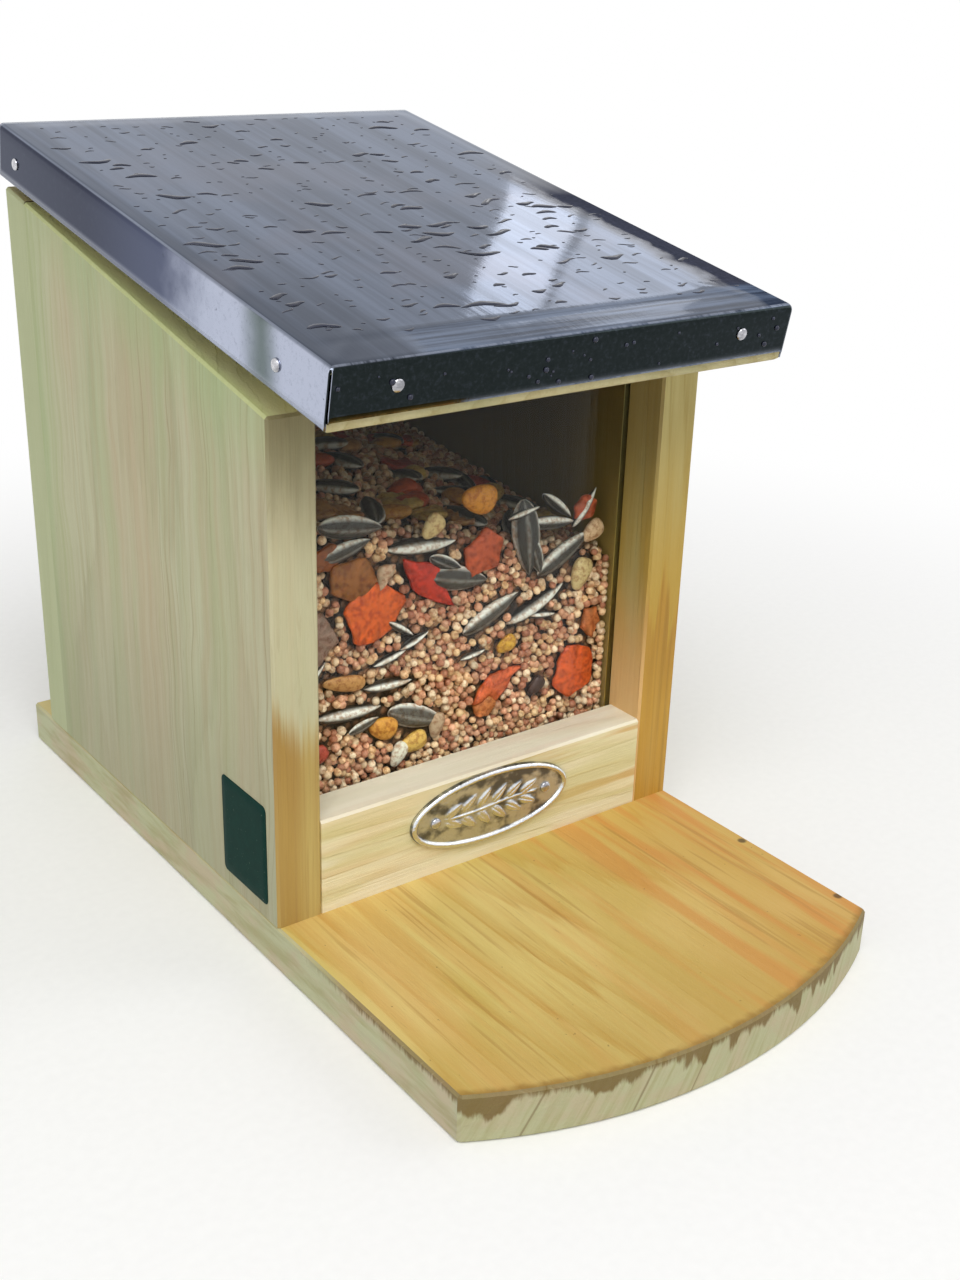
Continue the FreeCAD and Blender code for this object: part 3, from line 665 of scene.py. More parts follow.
def bent_edge(flat, drop):
    """Way along and way down for a line that runs flat, round a quarter bend and straight down."""
    turn = np.linspace(0, np.pi / 2, BEND_STEPS + 1)[1:]
    down = np.linspace(BEND, drop, DROP_STEPS + 1)[1:]
    along = np.concatenate([flat, flat[-1] + BEND * np.sin(turn), np.full(DROP_STEPS, flat[-1] + BEND)])
    return along, np.concatenate([np.zeros(len(flat)), BEND * (1 - np.cos(turn)), down])


# %% Sheet relief
# Sixteen dents in the sheet: x, y, width and height of each.
DENTS = dice.uniform([-52, -150, 10, 0.02], [52, -14, 24, 0.08], (16, 4))


def sheet_rise(x, y):
    """How far the sheet stands off the board: a low swell, round dents, the front band's fold and the
    ridges that run in from the front corners. It dies out at the bends and at the rear edge."""
    swell = 0.30 + 0.07 * np.sin(x / 13.0 + 0.4) * np.cos(y / 41.0) + 0.10 * np.sin(y / 23.0 + x / 60.0)
    dents = sum(
        rise * np.exp(-((x - at_x) ** 2 + ((y - at_y) / 1.8) ** 2) / wide ** 2)
        for at_x, at_y, wide, rise in DENTS
    )
    band = 0.4 * ease(y, SHEET_FRONT + 1.5, SHEET_FRONT + 9.0)
    band = band + 0.6 * ease(y, SHEET_FRONT + FRONT_BAND - 3.0, SHEET_FRONT + FRONT_BAND)
    inward_x, inward_y = SHEET_SIDE - np.abs(x), y - SHEET_FRONT
    ridge = 0.22 * np.exp(-((inward_x - inward_y) / 2.2) ** 2) * ease(-(inward_x + inward_y), -46, -14)
    fade = ease(inward_x, BEND, 7.0) * ease(-y, -SHEET_REAR, 9.0)
    return (swell + dents) * band * fade + ridge * ease(inward_x, BEND, 3.0) * ease(inward_y, BEND, 3.0)


# %% Sheet form
half_x, half_down = bent_edge(np.linspace(0, SHEET_SIDE - BEND, HALF_STEPS), SHEET_TOP - SIDE_HEM)
across = np.concatenate([-half_x[:0:-1], half_x])
across_down = np.concatenate([half_down[:0:-1], half_down])
slope = np.linspace(-SHEET_REAR, -SHEET_FRONT - BEND, SLOPE_STEPS)
along, along_down = bent_edge(slope, SHEET_TOP - FRONT_HEM)
sheet_x, sheet_y = np.meshgrid(across, -along)
rise = sheet_rise(sheet_x, sheet_y)
sheet_z = SHEET_TOP - across_down[None] - along_down[:, None] + rise
sheet_points = on_lid(np.stack([sheet_x, sheet_y, sheet_z], -1).reshape(-1, 3))
corner = ((along_down > BEND * SLIT_START)[:, None] & (across_down > BEND * SLIT_START)).ravel()
quads = grid_faces(*sheet_x.shape)[:, ::-1]
quads = quads[~corner[quads].any(1)]
used, numbers = np.unique(quads, return_inverse=True)
print("sheet grid", *sheet_x.shape, "rise up to", round(float(rise.max()), 2), "mm")

# %% [markdown]
# Bare zinc goes dull and streaky in the rain. Its colour is that of what it mirrors, dimmed, so the
# finish is a metal whose own grey wanders along the slope, partly weathering and partly a painted
# reflection of streaky surroundings. A painted dark reflection, dull and hardly metal, lies along the far
# edge and in the front band, and the front apron is painted dark as well. The left apron carries a
# painted reflection, dark at the back and bright towards the front, and the bends a painted highlight.

# %% Zinc finish
zinc = Finish("zinc_sheet")
where = zinc.place()
x, y, _ = zinc.parts(where)
face_x, face_y, _ = zinc.facing()
# The broad and narrow streaks along the slope are partly weathering, partly a painted reflection.
broad = zinc.noise(where, (0.075, 0.006, 0.006))
narrow = zinc.noise(where, (0.42, 0.010, 0.010), 3.0, 0.6)
speck = zinc.noise(where, 0.9, 4.0, 0.7)
ripple = zinc.noise(where, (0.02, 0.6, 0.6), 3.0, 0.6)
blur = zinc.noise(where, 0.09, 3.0, 0.6)
wave = zinc.noise(where, (0.09, 0.05, 0.05), 4.0, 0.6) * 16.0 + x
# Painted dark reflection along the far edge and in the front band, as if they mirrored dark surroundings.
far_edge_dark_reflection = zinc.step(wave, 54.5, 63.0) * zinc.step(y, 66.0, 22.0)
front_band_dark_reflection = zinc.step(y, -42.0, -46.0) * zinc.step(wave, -36.0, -28.0)
top = zinc.stain(
    zinc.mix(zinc.step(broad * 0.6 + narrow * 0.4, 0.36, 0.64), (62, 67, 78), (100, 108, 124)),
    (0.4, zinc.patches(where, 0.03, 0.45, 0.65), (102, 100, 108)),
    (0.9, far_edge_dark_reflection, zinc.mix(speck, (18, 24, 30), (70, 72, 92))),
    (0.85, front_band_dark_reflection, zinc.mix(zinc.step(ripple, 0.35, 0.65), (44, 54, 72), (98, 112, 136))),
)
# Side aprons: a painted reflection, dark at the back and a bright patch at the front, with a greenish band
# and dark dots.
side = zinc.stain(
    zinc.mix(zinc.step(y, 60.0, 5.0), (34, 36, 55), (78, 84, 108)),
    (1.0, zinc.step(blur * 26.0 + y, 30.0, -2.0), (182, 188, 206)),
    (0.85, zinc.step(abs(blur * 5.0 + y + 28.0), 10.0, 0.0), (86, 100, 92)),
    (0.7, zinc.patches(where, 0.30, 0.70, 0.75), (40, 42, 52)),
)
# A painted highlight along the bends.
bent = zinc.most(abs(face_x), -face_y)
bend_highlight = zinc.step(bent, 0.30, 0.42) * zinc.step(bent, 0.75, 0.62)
colour = zinc.stain(
    top,
    (1.0, zinc.step(abs(face_x), 0.5, 0.85), side),
    # The front apron is painted dark as a reflection.
    (1.0, zinc.step(face_y, -0.5, -0.85), zinc.mix(speck, (22, 29, 29), (44, 50, 51))),
    (0.5, bend_highlight * zinc.step(narrow, 0.30, 0.55), (160, 167, 184)),
    (0.25, zinc.step(speck, 0.5, 0.75), (72, 78, 92)),
)
# Where the dark reflection is painted, the sheet is also dull and hardly metal.
dull_dark_reflection = zinc.most(far_edge_dark_reflection, front_band_dark_reflection * 0.75) * zinc.step(bent, 0.55, 0.35)
zinc_finish = zinc.surface({
    "Base Color": colour, "Metallic": 1.0 - dull_dark_reflection * 0.97, "Roughness": narrow * 0.10 + 0.02,
    "Specular IOR Level": 0.5 - dull_dark_reflection * 0.5, "Specular Tint": tone(243, 247, 255),
}, narrow + speck * 0.2, 0.02)

sheet = make_piece(
    "zinc_sheet", sheet_points[used], [numbers.reshape(-1, 4)], zinc_finish,
    "lid", "zinc_sheet", ["roof_sheet"]
)
wall = sheet.modifiers.new("sheet_thickness", "SOLIDIFY")
wall.thickness = SHEET_THICKNESS * MM
wall.offset = -1.0

# %% [markdown]
# ## Rain on the sheet
# Drops that sit on zinc spread into low, wavy shapes that lie across the slope. They could be painted
# as a relief, but a drop has its own skin, glossier than the metal and painted dark as a reflection.
# Each is a flat dome on a stretched and bent oval, and they stand in a loose grid, each pushed aside a
# little. Small beads hang on the front.

# %% Rain drops
DROP_SIDES, DROP_SHARE, DROP_SINK, BEADS = 12, 0.82, 0.02, 30
DROP_RINGS = np.array([1.0, 0.86, 0.5])
DROP_RISES = [0.0, 0.55, 0.9]
grid_x, grid_y = np.meshgrid(np.arange(-57, 58, 6.4), np.arange(-150, -5, 5.0))
count = grid_x.size
drop_x = grid_x.ravel() + dice.uniform(-4, 4, count)
drop_y = grid_y.ravel() + dice.uniform(-3, 3, count)
drop_long = np.clip(dice.gamma(1.9, 1.9, count) * (1.0 - 0.35 * ease(drop_y, -110, -30)), 1.0, 13)
drop_wide = np.clip(drop_long * dice.uniform(0.13, 0.34, count), 0.6, 1.9)
lies = dice.normal(0, 0.16, (count, 1))
wave = dice.uniform(0, 6.3, (count, 1))
flat_x = np.append(np.outer(DROP_RINGS, np.cos(round_turn(DROP_SIDES))), [0, 0])
flat_y = np.append(np.outer(DROP_RINGS, np.sin(round_turn(DROP_SIDES))), [0, 0])
local_x = 0.5 * drop_long[:, None] * flat_x
local_y = 0.5 * drop_wide[:, None] * flat_y * (1 + 0.3 * np.sin(2.3 * flat_x + wave))
local_y += 0.09 * drop_long[:, None] * np.sin(2.6 * flat_x + 2 * wave)
spot_x = drop_x[:, None] + local_x * np.cos(lies) - local_y * np.sin(lies)
spot_y = drop_y[:, None] + local_x * np.sin(lies) + local_y * np.cos(lies)
inside = (np.abs(spot_x).max(1) < 60.5) & (spot_y.max(1) < -5) & (spot_y.min(1) > SHEET_FRONT + 3)
inside &= dice.uniform(size=count) < DROP_SHARE
spot_x, spot_y = spot_x[inside], spot_y[inside]
dome = np.append(np.repeat(DROP_RISES, DROP_SIDES), [0.0, 1.0])
height = dome * np.clip(0.17 * drop_wide[inside], 0.12, 0.30)[:, None]
drop_z = SHEET_TOP + sheet_rise(spot_x, spot_y) + height - DROP_SINK
drop_forms = np.stack([spot_x, spot_y, drop_z], -1)
at_zero = np.zeros((len(drop_forms), 3))
drops = copies(
    drop_forms, pod_faces(len(DROP_RINGS), DROP_SIDES), axes_along((0, 0, 1), len(drop_forms)), at_zero
)

# %% Beads and water
bead_profile = [(0, -0.1), (1.0, 0.0), (0.95, 0.35), (0.7, 0.65), (0.35, 0.82), (0, 0.87)]
bead_forms = spun(bead_profile, DROP_SIDES) * dice.uniform(0.25, 0.75, (BEADS, 1, 1))
bead_x = dice.uniform(-61, 61, BEADS)
bead_z = dice.uniform(FRONT_HEM + 1, SHEET_TOP - BEND, BEADS)
bead_places = np.column_stack([bead_x, np.full(BEADS, SHEET_FRONT), bead_z])
beads = copies(
    bead_forms, pod_faces(len(bead_profile) - 2, DROP_SIDES), axes_along((0, -1, 0), BEADS), bead_places
)
points, faces = joined(drops, beads)

rain = Finish("rain_water")
# The drops' and beads' dark colour is a painted reflection.
rain_dark_reflection = rain.mix(rain.noise(rain.place(), 0.25), (28, 30, 42), (58, 62, 80))
rain_finish = rain.surface({"Base Color": rain_dark_reflection, "Roughness": 0.06, "IOR": 1.33, "Metallic": 0.0})
make_piece("rain_drops", on_lid(points), faces, rain_finish, "lid", "zinc_sheet")


# %% [markdown]
# ## Nails, pins and screws
# Small round heads catch the light and show where things are joined. Each is one profile turned about
# its axis, with its shank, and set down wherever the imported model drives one. The hinge screws also
# have a cross cut into the head, which is a dip of the same surface where two bands meet.

# %% Steel finish
def steel(name, dark, light, rough, cloud=0.5):
    """Plated steel: a metal with cloudy spangle, fine scratches and a slight relief."""
    plate = Finish(name)
    where = plate.place()
    scratch = plate.noise(where, (0.3, 2.5, 2.5), 3.0, 0.7)
    shade = plate.noise(where, cloud, 3.0, 0.6) * 0.7 + scratch * 0.3
    colour = plate.mix(plate.step(shade, 0.35, 0.65), dark, light)
    inputs = {"Base Color": colour, "Metallic": 1.0, "Roughness": scratch * 0.2 + rough}
    return plate.surface(inputs, shade, 0.03)


pin_steel = steel("pin_steel", (150, 150, 156), (220, 220, 224), 0.12)
fixing_steel = steel("fixing_steel", (150, 148, 140), (206, 204, 196), 0.28)
hinge_steel = steel("hinge_steel", (140, 134, 116), (198, 190, 168), 0.32, 0.25)
dress(fixing_steel, "base_screws")
for hand in ("left", "right"):
    dress(hinge_steel, f"hinge_wall_leaf_{hand}", f"hinge_roof_leaf_{hand}", f"hinge_pin_{hand}")

# %% Round heads
NAIL_SIDES = 20
ROOF_NAIL_Y, ROOF_NAIL_Z, FRONT_NAIL_X, FRONT_NAIL_Z = (-145.3, -13.2), 8.0, 47.0, 9.8
BACK_FACE, BACK_NAIL_X, BACK_NAIL_Z = 105.5, 55.5, (45.0, 125.0)


def nails(shank, length, head, height, driven):
    """Nails for (direction, places) pairs, where the direction points out of the domed head. The
    outline runs from the point up the shank, out under the head and round to its crown."""
    crown = [(head * np.cos(a), height * (0.25 + 0.75 * np.sin(a))) for a in np.linspace(0, np.pi / 2, 6)]
    point = [(0, -length), (shank * 0.9, -length + 1.5 * shank)]
    profile = [*point, (shank, -0.3), (shank, 0), (head * 0.96, 0), *crown]
    form, faces = spun(profile, NAIL_SIDES), pod_faces(len(profile) - 2, NAIL_SIDES)
    return joined(*(
        copies(form, faces, axes_along(way, len(spots)), np.array(spots, float)) for way, spots in driven
    ))


roof_driven = [
    *(((hand, 0, 0), [(hand * SHEET_SIDE, at, ROOF_NAIL_Z) for at in ROOF_NAIL_Y]) for hand in (1, -1)),
    ((0, -1, 0), [(at, SHEET_FRONT, FRONT_NAIL_Z) for at in (-FRONT_NAIL_X, FRONT_NAIL_X)]),
]
points, faces = nails(0.75, 11.9, 1.5, 0.8, roof_driven)
make_piece("roof_nails", on_lid(points), faces, pin_steel, "lid", "pin_steel", ["roof_sheet_nails"])
back_spots = [(at, BACK_FACE, high) for at in (-BACK_NAIL_X, BACK_NAIL_X) for high in BACK_NAIL_Z]
points, faces = nails(0.95, 29.9, 2.4, 0.9, [((0, 1, 0), back_spots)])
make_piece("back_nails", points, faces, fixing_steel, "house", "fixing_steel", ["back_wall_nails"])

# %% Hinge screws
SCREW_SIDES, SCREW_HEAD, HEAD_HEIGHT = 40, 2.1, 0.9
CROSS_ARM, CROSS_REACH, CROSS_DEEP = 0.42, 1.5, 0.5
CROWN_RINGS = (1.0, 0.96, 0.85, 0.7, 0.55, 0.4, 0.25, 0.12)
LEAF_SCREW_X = (-47.0, -33.0, 33.0, 47.0)


def cross_head(points):
    """Sink a cross into the crown: the dip is full inside two bands and eases out at their sides."""
    x, y, z = points.T
    band_x, band_y = (ease(-np.abs(off), -CROSS_ARM, -CROSS_ARM * 0.4) for off in (x, y))
    dip = np.maximum(band_x, band_y) * ease(-np.hypot(x, y), -CROSS_REACH, -CROSS_REACH * 0.8) * (z > 0.3)
    return np.column_stack([x, y, z - CROSS_DEEP * dip])


crown = [(SCREW_HEAD * share, HEAD_HEIGHT * (1 - 0.45 * share ** 2.5)) for share in CROWN_RINGS]
shank = [(0, -9.9), (0.9, -8.0), (1.15, -0.3), (1.15, 0)]
screw_profile = [*shank, (SCREW_HEAD, 0), *crown, (0, HEAD_HEIGHT)]
screw = cross_head(spun(screw_profile, SCREW_SIDES))
screw_faces = pod_faces(len(screw_profile) - 2, SCREW_SIDES)
for leaf, body, leaf_y, leaf_z in (("wall", "house", 106.5, 156.73), ("roof", "lid", -1.2, 7.5)):
    spots = np.array([(at, leaf_y, leaf_z) for at in LEAF_SCREW_X])
    points, faces = copies(screw, screw_faces, axes_along((0, 1, 0), len(spots)), spots)
    points = on_lid(points) if body == "lid" else points
    name, stands_for = f"{leaf}_leaf_screws", [f"hinge_{leaf}_screws"]
    make_piece(name, points, faces, fixing_steel, body, "fixing_steel", stands_for)


# %% [markdown]
# ## The oval plate
# A thin plate of tinned steel is pressed with a rounded rim and a raised ornament. Here that is a plain
# sprig of leaves. Rings of one oval carry the whole form: round the edge, over the rim, then across the
# field to the middle, where the height of the leaves is added. The hollows are dark with age.

# %% Plate form
PLATE_LEVEL, PLATE_HALF, PLATE_BACK = 26.7, np.array([24.5, 9.75]), -29.5
RIM_WIDTH, RIM_HEIGHT, RIM_FOOT, FIELD_HEIGHT = 1.7, 1.4, 0.55, 0.8
PLATE_SIDES, FIELD_STEPS, PLATE_PIN_X = 260, 46, 17.25
LEAF_HALF = 3.1
# Pairs of leaves: place along the stem, distance from it and angle in degrees.
LEAVES = [(-11.5, 1.9, 28), (-7.0, 2.7, 38), (-2.2, 2.9, 48), (2.6, 2.9, 42), (7.2, 2.6, 34), (11.6, 1.9, 24)]


def sprig_height(u, v):
    """Height of the sprig: a wavy stem, and pairs of oval leaves with a groove for the vein."""
    relief = 0.28 * ease(-np.abs(v - 0.35 * np.sin(u / 4.5)), -0.55, -0.15) * ease(-np.abs(u), -15, -13)
    for at, off, angle in LEAVES:
        lean_cos, lean_sin = np.cos(np.radians(angle)), np.sin(np.radians(angle))
        for side in (1, -1):
            du, dv = u - at, side * v - off
            length, width = du * lean_cos + dv * lean_sin, dv * lean_cos - du * lean_sin
            body = 1 - (length / LEAF_HALF) ** 2 - (width / (1.25 - 0.2 * length)) ** 2
            leaf = 0.42 * np.sqrt(np.clip(body, 0, 1)) - 0.14 * np.exp(-(width / 0.22) ** 2) * (body > 0)
            relief = np.maximum(relief, leaf)
    return relief


rim_turn = np.linspace(0, np.pi, 9)
inset = np.concatenate([[0.0, 0.0], RIM_WIDTH / 2 * (1 - np.cos(rim_turn))[1:]])
rim = RIM_FOOT + (RIM_HEIGHT - RIM_FOOT) * np.sin(rim_turn)[1:-1]
field = np.linspace(1, 0, FIELD_STEPS)[1:-1]
stand = np.concatenate([[0.0, RIM_FOOT], rim, np.full(len(field) + 1, FIELD_HEIGHT)])
scale = np.concatenate([PLATE_HALF - inset[:, None], (PLATE_HALF - RIM_WIDTH) * field[:, None]])
turn = round_turn(PLATE_SIDES)
plate_u, plate_v = scale[:, :1] * np.cos(turn), scale[:, 1:] * np.sin(turn)
on_field = (np.arange(len(scale)) >= len(inset))[:, None]
plate_h = stand[:, None] + sprig_height(plate_u, plate_v) * on_field
rings = np.stack([plate_u, PLATE_BACK - plate_h, PLATE_LEVEL + plate_v], -1).reshape(-1, 3)
middle = FIELD_HEIGHT + float(sprig_height(np.zeros(1), np.zeros(1))[0])
poles = [[0, PLATE_BACK, PLATE_LEVEL], [0, PLATE_BACK - middle, PLATE_LEVEL]]

# %% Plate finish and pins
tin = Finish("plate_metal")
where = tin.place()
_, y, _ = tin.parts(where)
raised = tin.step(y, -30.35, -30.62)
grime = tin.patches(where, (0.22, 0.22, 0.30), 0.36, 0.60)
tin_colour = tin.mix(grime, (108, 110, 112), (206, 208, 204))
tin_colour = tin.mix(raised, tin_colour, (226, 230, 234))
tin_finish = tin.surface({
    "Base Color": tin_colour, "Metallic": 1.0, "Roughness": 0.34 - raised * 0.16,
}, tin.noise(where, 1.6, 3.0, 0.6), 0.12)
make_piece(
    "oval_plate_pressed", np.concatenate([rings, poles]), pod_faces(len(scale), PLATE_SIDES), tin_finish,
    "house", "plate_metal", ["oval_plate"]
)
plate_spots = [(at, PLATE_BACK - FIELD_HEIGHT, PLATE_LEVEL) for at in (-PLATE_PIN_X, PLATE_PIN_X)]
points, faces = nails(0.65, 7.9, 1.5, 0.8, [((0, -1, 0), plate_spots)])
make_piece("plate_pins", points, faces, pin_steel, "house", "pin_steel", ["oval_plate_pins"])

# %% [markdown]
# ## The blank sticker
# A small dark green sticker with rounded corners sits low on the left wall. It is left blank. Rings of
# a rectangle with rounded corners give its edge and face. Its finish is printed paper, a little scuffed.

# %% Sticker
STICKER_MIDDLE, STICKER_HALF = np.array([-14.2, 29.0]), np.array([10.6, 13.2])
STICKER_CORNER, STICKER_THICK, STICKER_SIDES, WALL_FACE = 1.5, 0.18, 96, -61.5
STICKER_RINGS = np.array([1.0, 1.0, 0.992, 0.8, 0.4])
STICKER_RISES = np.array([0.0, 0.6, 1.0, 1.0, 1.0])
turn = (np.arange(STICKER_SIDES) + 0.5) * 2 * np.pi / STICKER_SIDES
circle = np.stack([np.cos(turn), np.sin(turn)], -1)
outline = np.sign(circle) * (STICKER_HALF - STICKER_CORNER) + STICKER_CORNER * circle
flat = outline * STICKER_RINGS[:, None, None] + STICKER_MIDDLE
ring_x = np.repeat(WALL_FACE - STICKER_RISES * STICKER_THICK, STICKER_SIDES)
rings = np.column_stack([ring_x, flat.reshape(-1, 2)])
poles = [[WALL_FACE, *STICKER_MIDDLE], [WALL_FACE - STICKER_THICK, *STICKER_MIDDLE]]
sticker_faces = [face[:, ::-1] for face in pod_faces(len(STICKER_RINGS), STICKER_SIDES)]

label = Finish("sticker_paper")
where = label.place()
mottle = label.noise(where, (0.5, 0.35, 0.35), 4.0, 0.6)
scuff = label.step(label.noise(where, (1.2, 0.9, 1.6), 4.0, 0.7), 0.64, 0.72)
ink = label.stain(label.mix(mottle, (4, 40, 34), (12, 54, 46)), (0.5, scuff, (150, 170, 150)))
inputs = {"Base Color": ink, "Roughness": 0.55, "Specular IOR Level": 0.06}
points, sticker_finish = np.concatenate([rings, poles]), label.surface(inputs, mottle, 0.03)
make_piece("blank_sticker", points, sticker_faces, sticker_finish, "house", "pine_left_wall")

# %% [markdown]
# ## The clear pane
# A sheet of clear plastic stands in the two grooves. A pure glass shader would keep light from the seed
# behind it, because lamps are not followed through glass. For shadow rays the pane is therefore made
# transparent, and what the camera sees is still a thin glossy sheet with a few wipe marks.

# %% Pane finish
PANE_TONE = tone(246, 250, 248)
pane = Finish("clear_pane")
wipe = pane.patches(pane.place(), (0.03, 0.1, 0.05), 0.5, 0.8)
gloss = pane.add("BsdfPrincipled", {
    "Base Color": PANE_TONE, "Roughness": wipe * 0.03 + 0.01, "IOR": 1.18, "Transmission Weight": 1.0
})
through = pane.add("BsdfTransparent", {"Color": PANE_TONE})
shadow = pane.add("LightPath", result="Is Shadow Ray")
dress(pane.show(pane.add("MixShader", {0: shadow, 1: gloss, 2: through})), "window_pane")


# %% [markdown]
# ## The seed mix
# Behind the pane lies a heap of red millet with striped sunflower seeds, orange flakes, maize and nut
# pieces. A picture of seeds on a block would look flat from any other side. So a dark bed gives the
# heap its form, close-packed layers of small grains cover its front and top, and the larger pieces
# lie against the pane or on top. Grains that a larger piece would run through are left out.

# %% Heap bed
HOPPER_HALF, HOPPER_FRONT, HOPPER_BACK = 49.2, -14.9, 93.2
HEAP_FRONT, HEAP_BACK, HEAP_CROWN = (104.0, 80.0), (110.0, 94.0), 5.0
BED_MARGIN, BED_LIFT, BED_INSET, BED_BEHIND = 1.6, 0.3, 0.5, 3.0


def heap_top(x, y):
    """Height of the heap: straight between its four corners, with a low crown over the middle."""
    u = (x + HOPPER_HALF) / (2 * HOPPER_HALF)
    v = (y - HOPPER_FRONT) / (HOPPER_BACK - HOPPER_FRONT)
    front = HEAP_FRONT[0] + (HEAP_FRONT[1] - HEAP_FRONT[0]) * u
    rear = HEAP_BACK[0] + (HEAP_BACK[1] - HEAP_BACK[0]) * u
    return front + (rear - front) * v + HEAP_CROWN * np.sin(np.pi * u) * np.sin(np.pi * v)


def slab(top, bottom):
    """A closed body between two grids of points: both skins, and the rim that joins their edges."""
    rows, columns = top.shape[:2]
    count = rows * columns
    number = np.arange(count).reshape(rows, columns)
    rim = np.concatenate([number[0], number[1:, -1], number[-1, -2::-1], number[-2:0:-1, 0]])
    after = np.roll(rim, -1)
    skin = grid_faces(rows, columns)
    edge = np.stack([rim + count, after + count, after, rim], 1)
    return np.concatenate([top.reshape(-1, 3), bottom.reshape(-1, 3)]), [skin, skin[:, ::-1] + count, edge]


bed_x, bed_y = np.meshgrid(
    np.linspace(-HOPPER_HALF + BED_INSET, HOPPER_HALF - BED_INSET, 34),
    np.linspace(HOPPER_FRONT + BED_BEHIND, HOPPER_BACK - BED_INSET, 36),
)
bed_top = np.stack([bed_x, bed_y, heap_top(bed_x, bed_y) - BED_MARGIN], -1)
bed_floor = np.stack([bed_x, bed_y, np.full(bed_x.shape, BASE_TOP + BED_LIFT)], -1)

bed = Finish("seed_bed")
where = bed.place()
cells = bed.add("TexVoronoi", {"Vector": bed.times(where, 0.42), "Scale": 1.0}, "Distance")
bed_colour = bed.mix(bed.noise(where, 0.3), (120, 76, 48), (150, 108, 74))
# Dark cell borders: painted shade in the gaps between seeds.
bed_colour = bed.mix(bed.step(cells, 0.25, 0.6), bed_colour, (42, 28, 18))
bed_finish = bed.surface({"Base Color": bed_colour, "Roughness": 0.7}, -cells, 1.0)
make_piece("seed_bed", *slab(bed_top, bed_floor), bed_finish, "house", "seed_mix", ["seed_fill"])

# %% Seed forms
HUSK_RINGS, HUSK_SIDES = 13, 24
HUSK_FACES = pod_faces(HUSK_RINGS, HUSK_SIDES)


def tint(red, green, blue):
    """The linear red, green and blue of a screen colour, for the colours that a piece carries."""
    return np.array(tone(red, green, blue)[:3])


def pod(outline, length, width, thick):
    """A seed along x: its half width follows the outline from end to end, and its section is an oval."""
    way = (1 - np.cos(np.pi * (np.arange(HUSK_RINGS) + 1) / (HUSK_RINGS + 1))) / 2
    half = outline(way) / outline(way).max() / 2
    turn = round_turn(HUSK_SIDES)
    ring = np.stack([
        np.outer(length * (way - 0.5), np.ones(HUSK_SIDES)),
        width * np.outer(half, np.cos(turn)), thick * np.outer(half, np.sin(turn))
    ], -1)
    return np.concatenate([ring.reshape(-1, 3), [[-length / 2, 0, 0], [length / 2, 0, 0]]])


def husk_outline(way):
    """Half width along a husk, which is blunt where it starts and more pointed where it ends."""
    return way ** 0.55 * (1 - way) ** 0.8


def kernel_outline(way):
    """Half width along a kernel: a full oval that widens towards its far end."""
    return (0.55 + 0.45 * way) * (way * (1 - way)) ** 0.34


def stripes(dark, pale):
    """Husk colours: pale bands along the two edges and a faint pale line down each face."""
    turn = round_turn(HUSK_SIDES)
    line = 0.22 * ease(-np.abs(np.cos(3 * turn)), -0.3, -0.1)
    share = np.maximum(ease(np.abs(np.cos(turn)), 0.80, 0.95), line)
    share = np.append(np.tile(share, HUSK_RINGS), [0.6, 0.6])[:, None]
    return dark * (1 - share) + pale * share


# %% Laying seeds at the pane
big_seeds, big_tints = [], []


def seed_axes(angle, roll, lean=0.0):
    """Turns for seeds against the pane: the length lies at an angle in the pane, then rolls about itself."""
    angle, roll, lean = np.radians([angle, roll, lean])
    flat = np.array([np.cos(angle) * np.cos(lean), np.sin(lean), np.sin(angle) * np.cos(lean)])
    out = np.cross(np.cross(flat, [0.0, 1.0, 0.0]), flat)
    out /= np.linalg.norm(out)
    turned = np.cos(roll) * np.cross(out, flat) + np.sin(roll) * out
    return np.stack([flat, turned, np.cross(flat, turned)], 1)


def lay(form, faces, axes, place, tints):
    """Set one larger piece down and remember its colours."""
    points, faces = copies(form, faces, axes[None], np.array(place, float)[None])
    big_seeds.append((points, faces))
    big_tints.append(np.broadcast_to(tints, points.shape))


def lay_at_pane(form, faces, axes, x, z, tints):
    """Set one larger piece down so that it just touches the front of the hopper."""
    lay(form, faces, axes, (x, HOPPER_FRONT - (form @ axes.T)[:, 1].min(), z), tints)


# %% Sunflower seeds
# Sunflower seeds against the pane: x, z, length, angle, roll and how grey the husk is.
HUSKS = [
    (-31, 101.5, 18, -10, 20, 0.4), (-33, 96, 15, 12, 25, 0.5), (-10, 92.7, 21, -4, 84, 0.3),
    (-4, 87.4, 11, -28, 20, 0.2), (0, 82.6, 19, -14, 10, 0.5), (-41, 67, 7, 48, 60, 0.2),
    (-20, 58.6, 14, -3, 75, 0.4), (-31, 53.4, 19, -3, 70, 0.4), (-12, 48, 18, -22, 8, 0.9),
    (21.5, 89, 21, -82, 15, 0.3), (24, 84, 11, -70, 30, 0.4), (29.5, 91.5, 16, -8, 55, 0.2),
    (34, 82.5, 19, 28, 25, 0.5), (40, 94, 12, 52, 65, 0.2), (11, 70.7, 19, 24, 30, 0.7),
    (26, 70, 21, 22, 80, 0.1), (5, 61, 8, 8, 70, 0.6), (-17, 73, 9, -35, 70, 0.3),
    (-13, 69, 9, 20, 75, 0.3), (27, 67, 9, -8, 70, 0.2), (-20, 66, 10, 14, 70, 0.2),
    (20, 96, 10, 10, 60, 0.2), (31, 96, 12, -40, 70, 0.2), (-28, 50, 9, 15, 20, 0.6),
]
for x, z, length, angle, roll, grey in HUSKS:
    dark = tint(30, 27, 28) * (1 - grey) + tint(92, 86, 78) * grey
    form = pod(husk_outline, length, 0.36 * length, 0.21 * length)
    lay_at_pane(form, HUSK_FACES, seed_axes(angle, roll), x, z, stripes(dark, tint(240, 236, 226)))
print(len(HUSKS), "sunflower seeds at the pane")

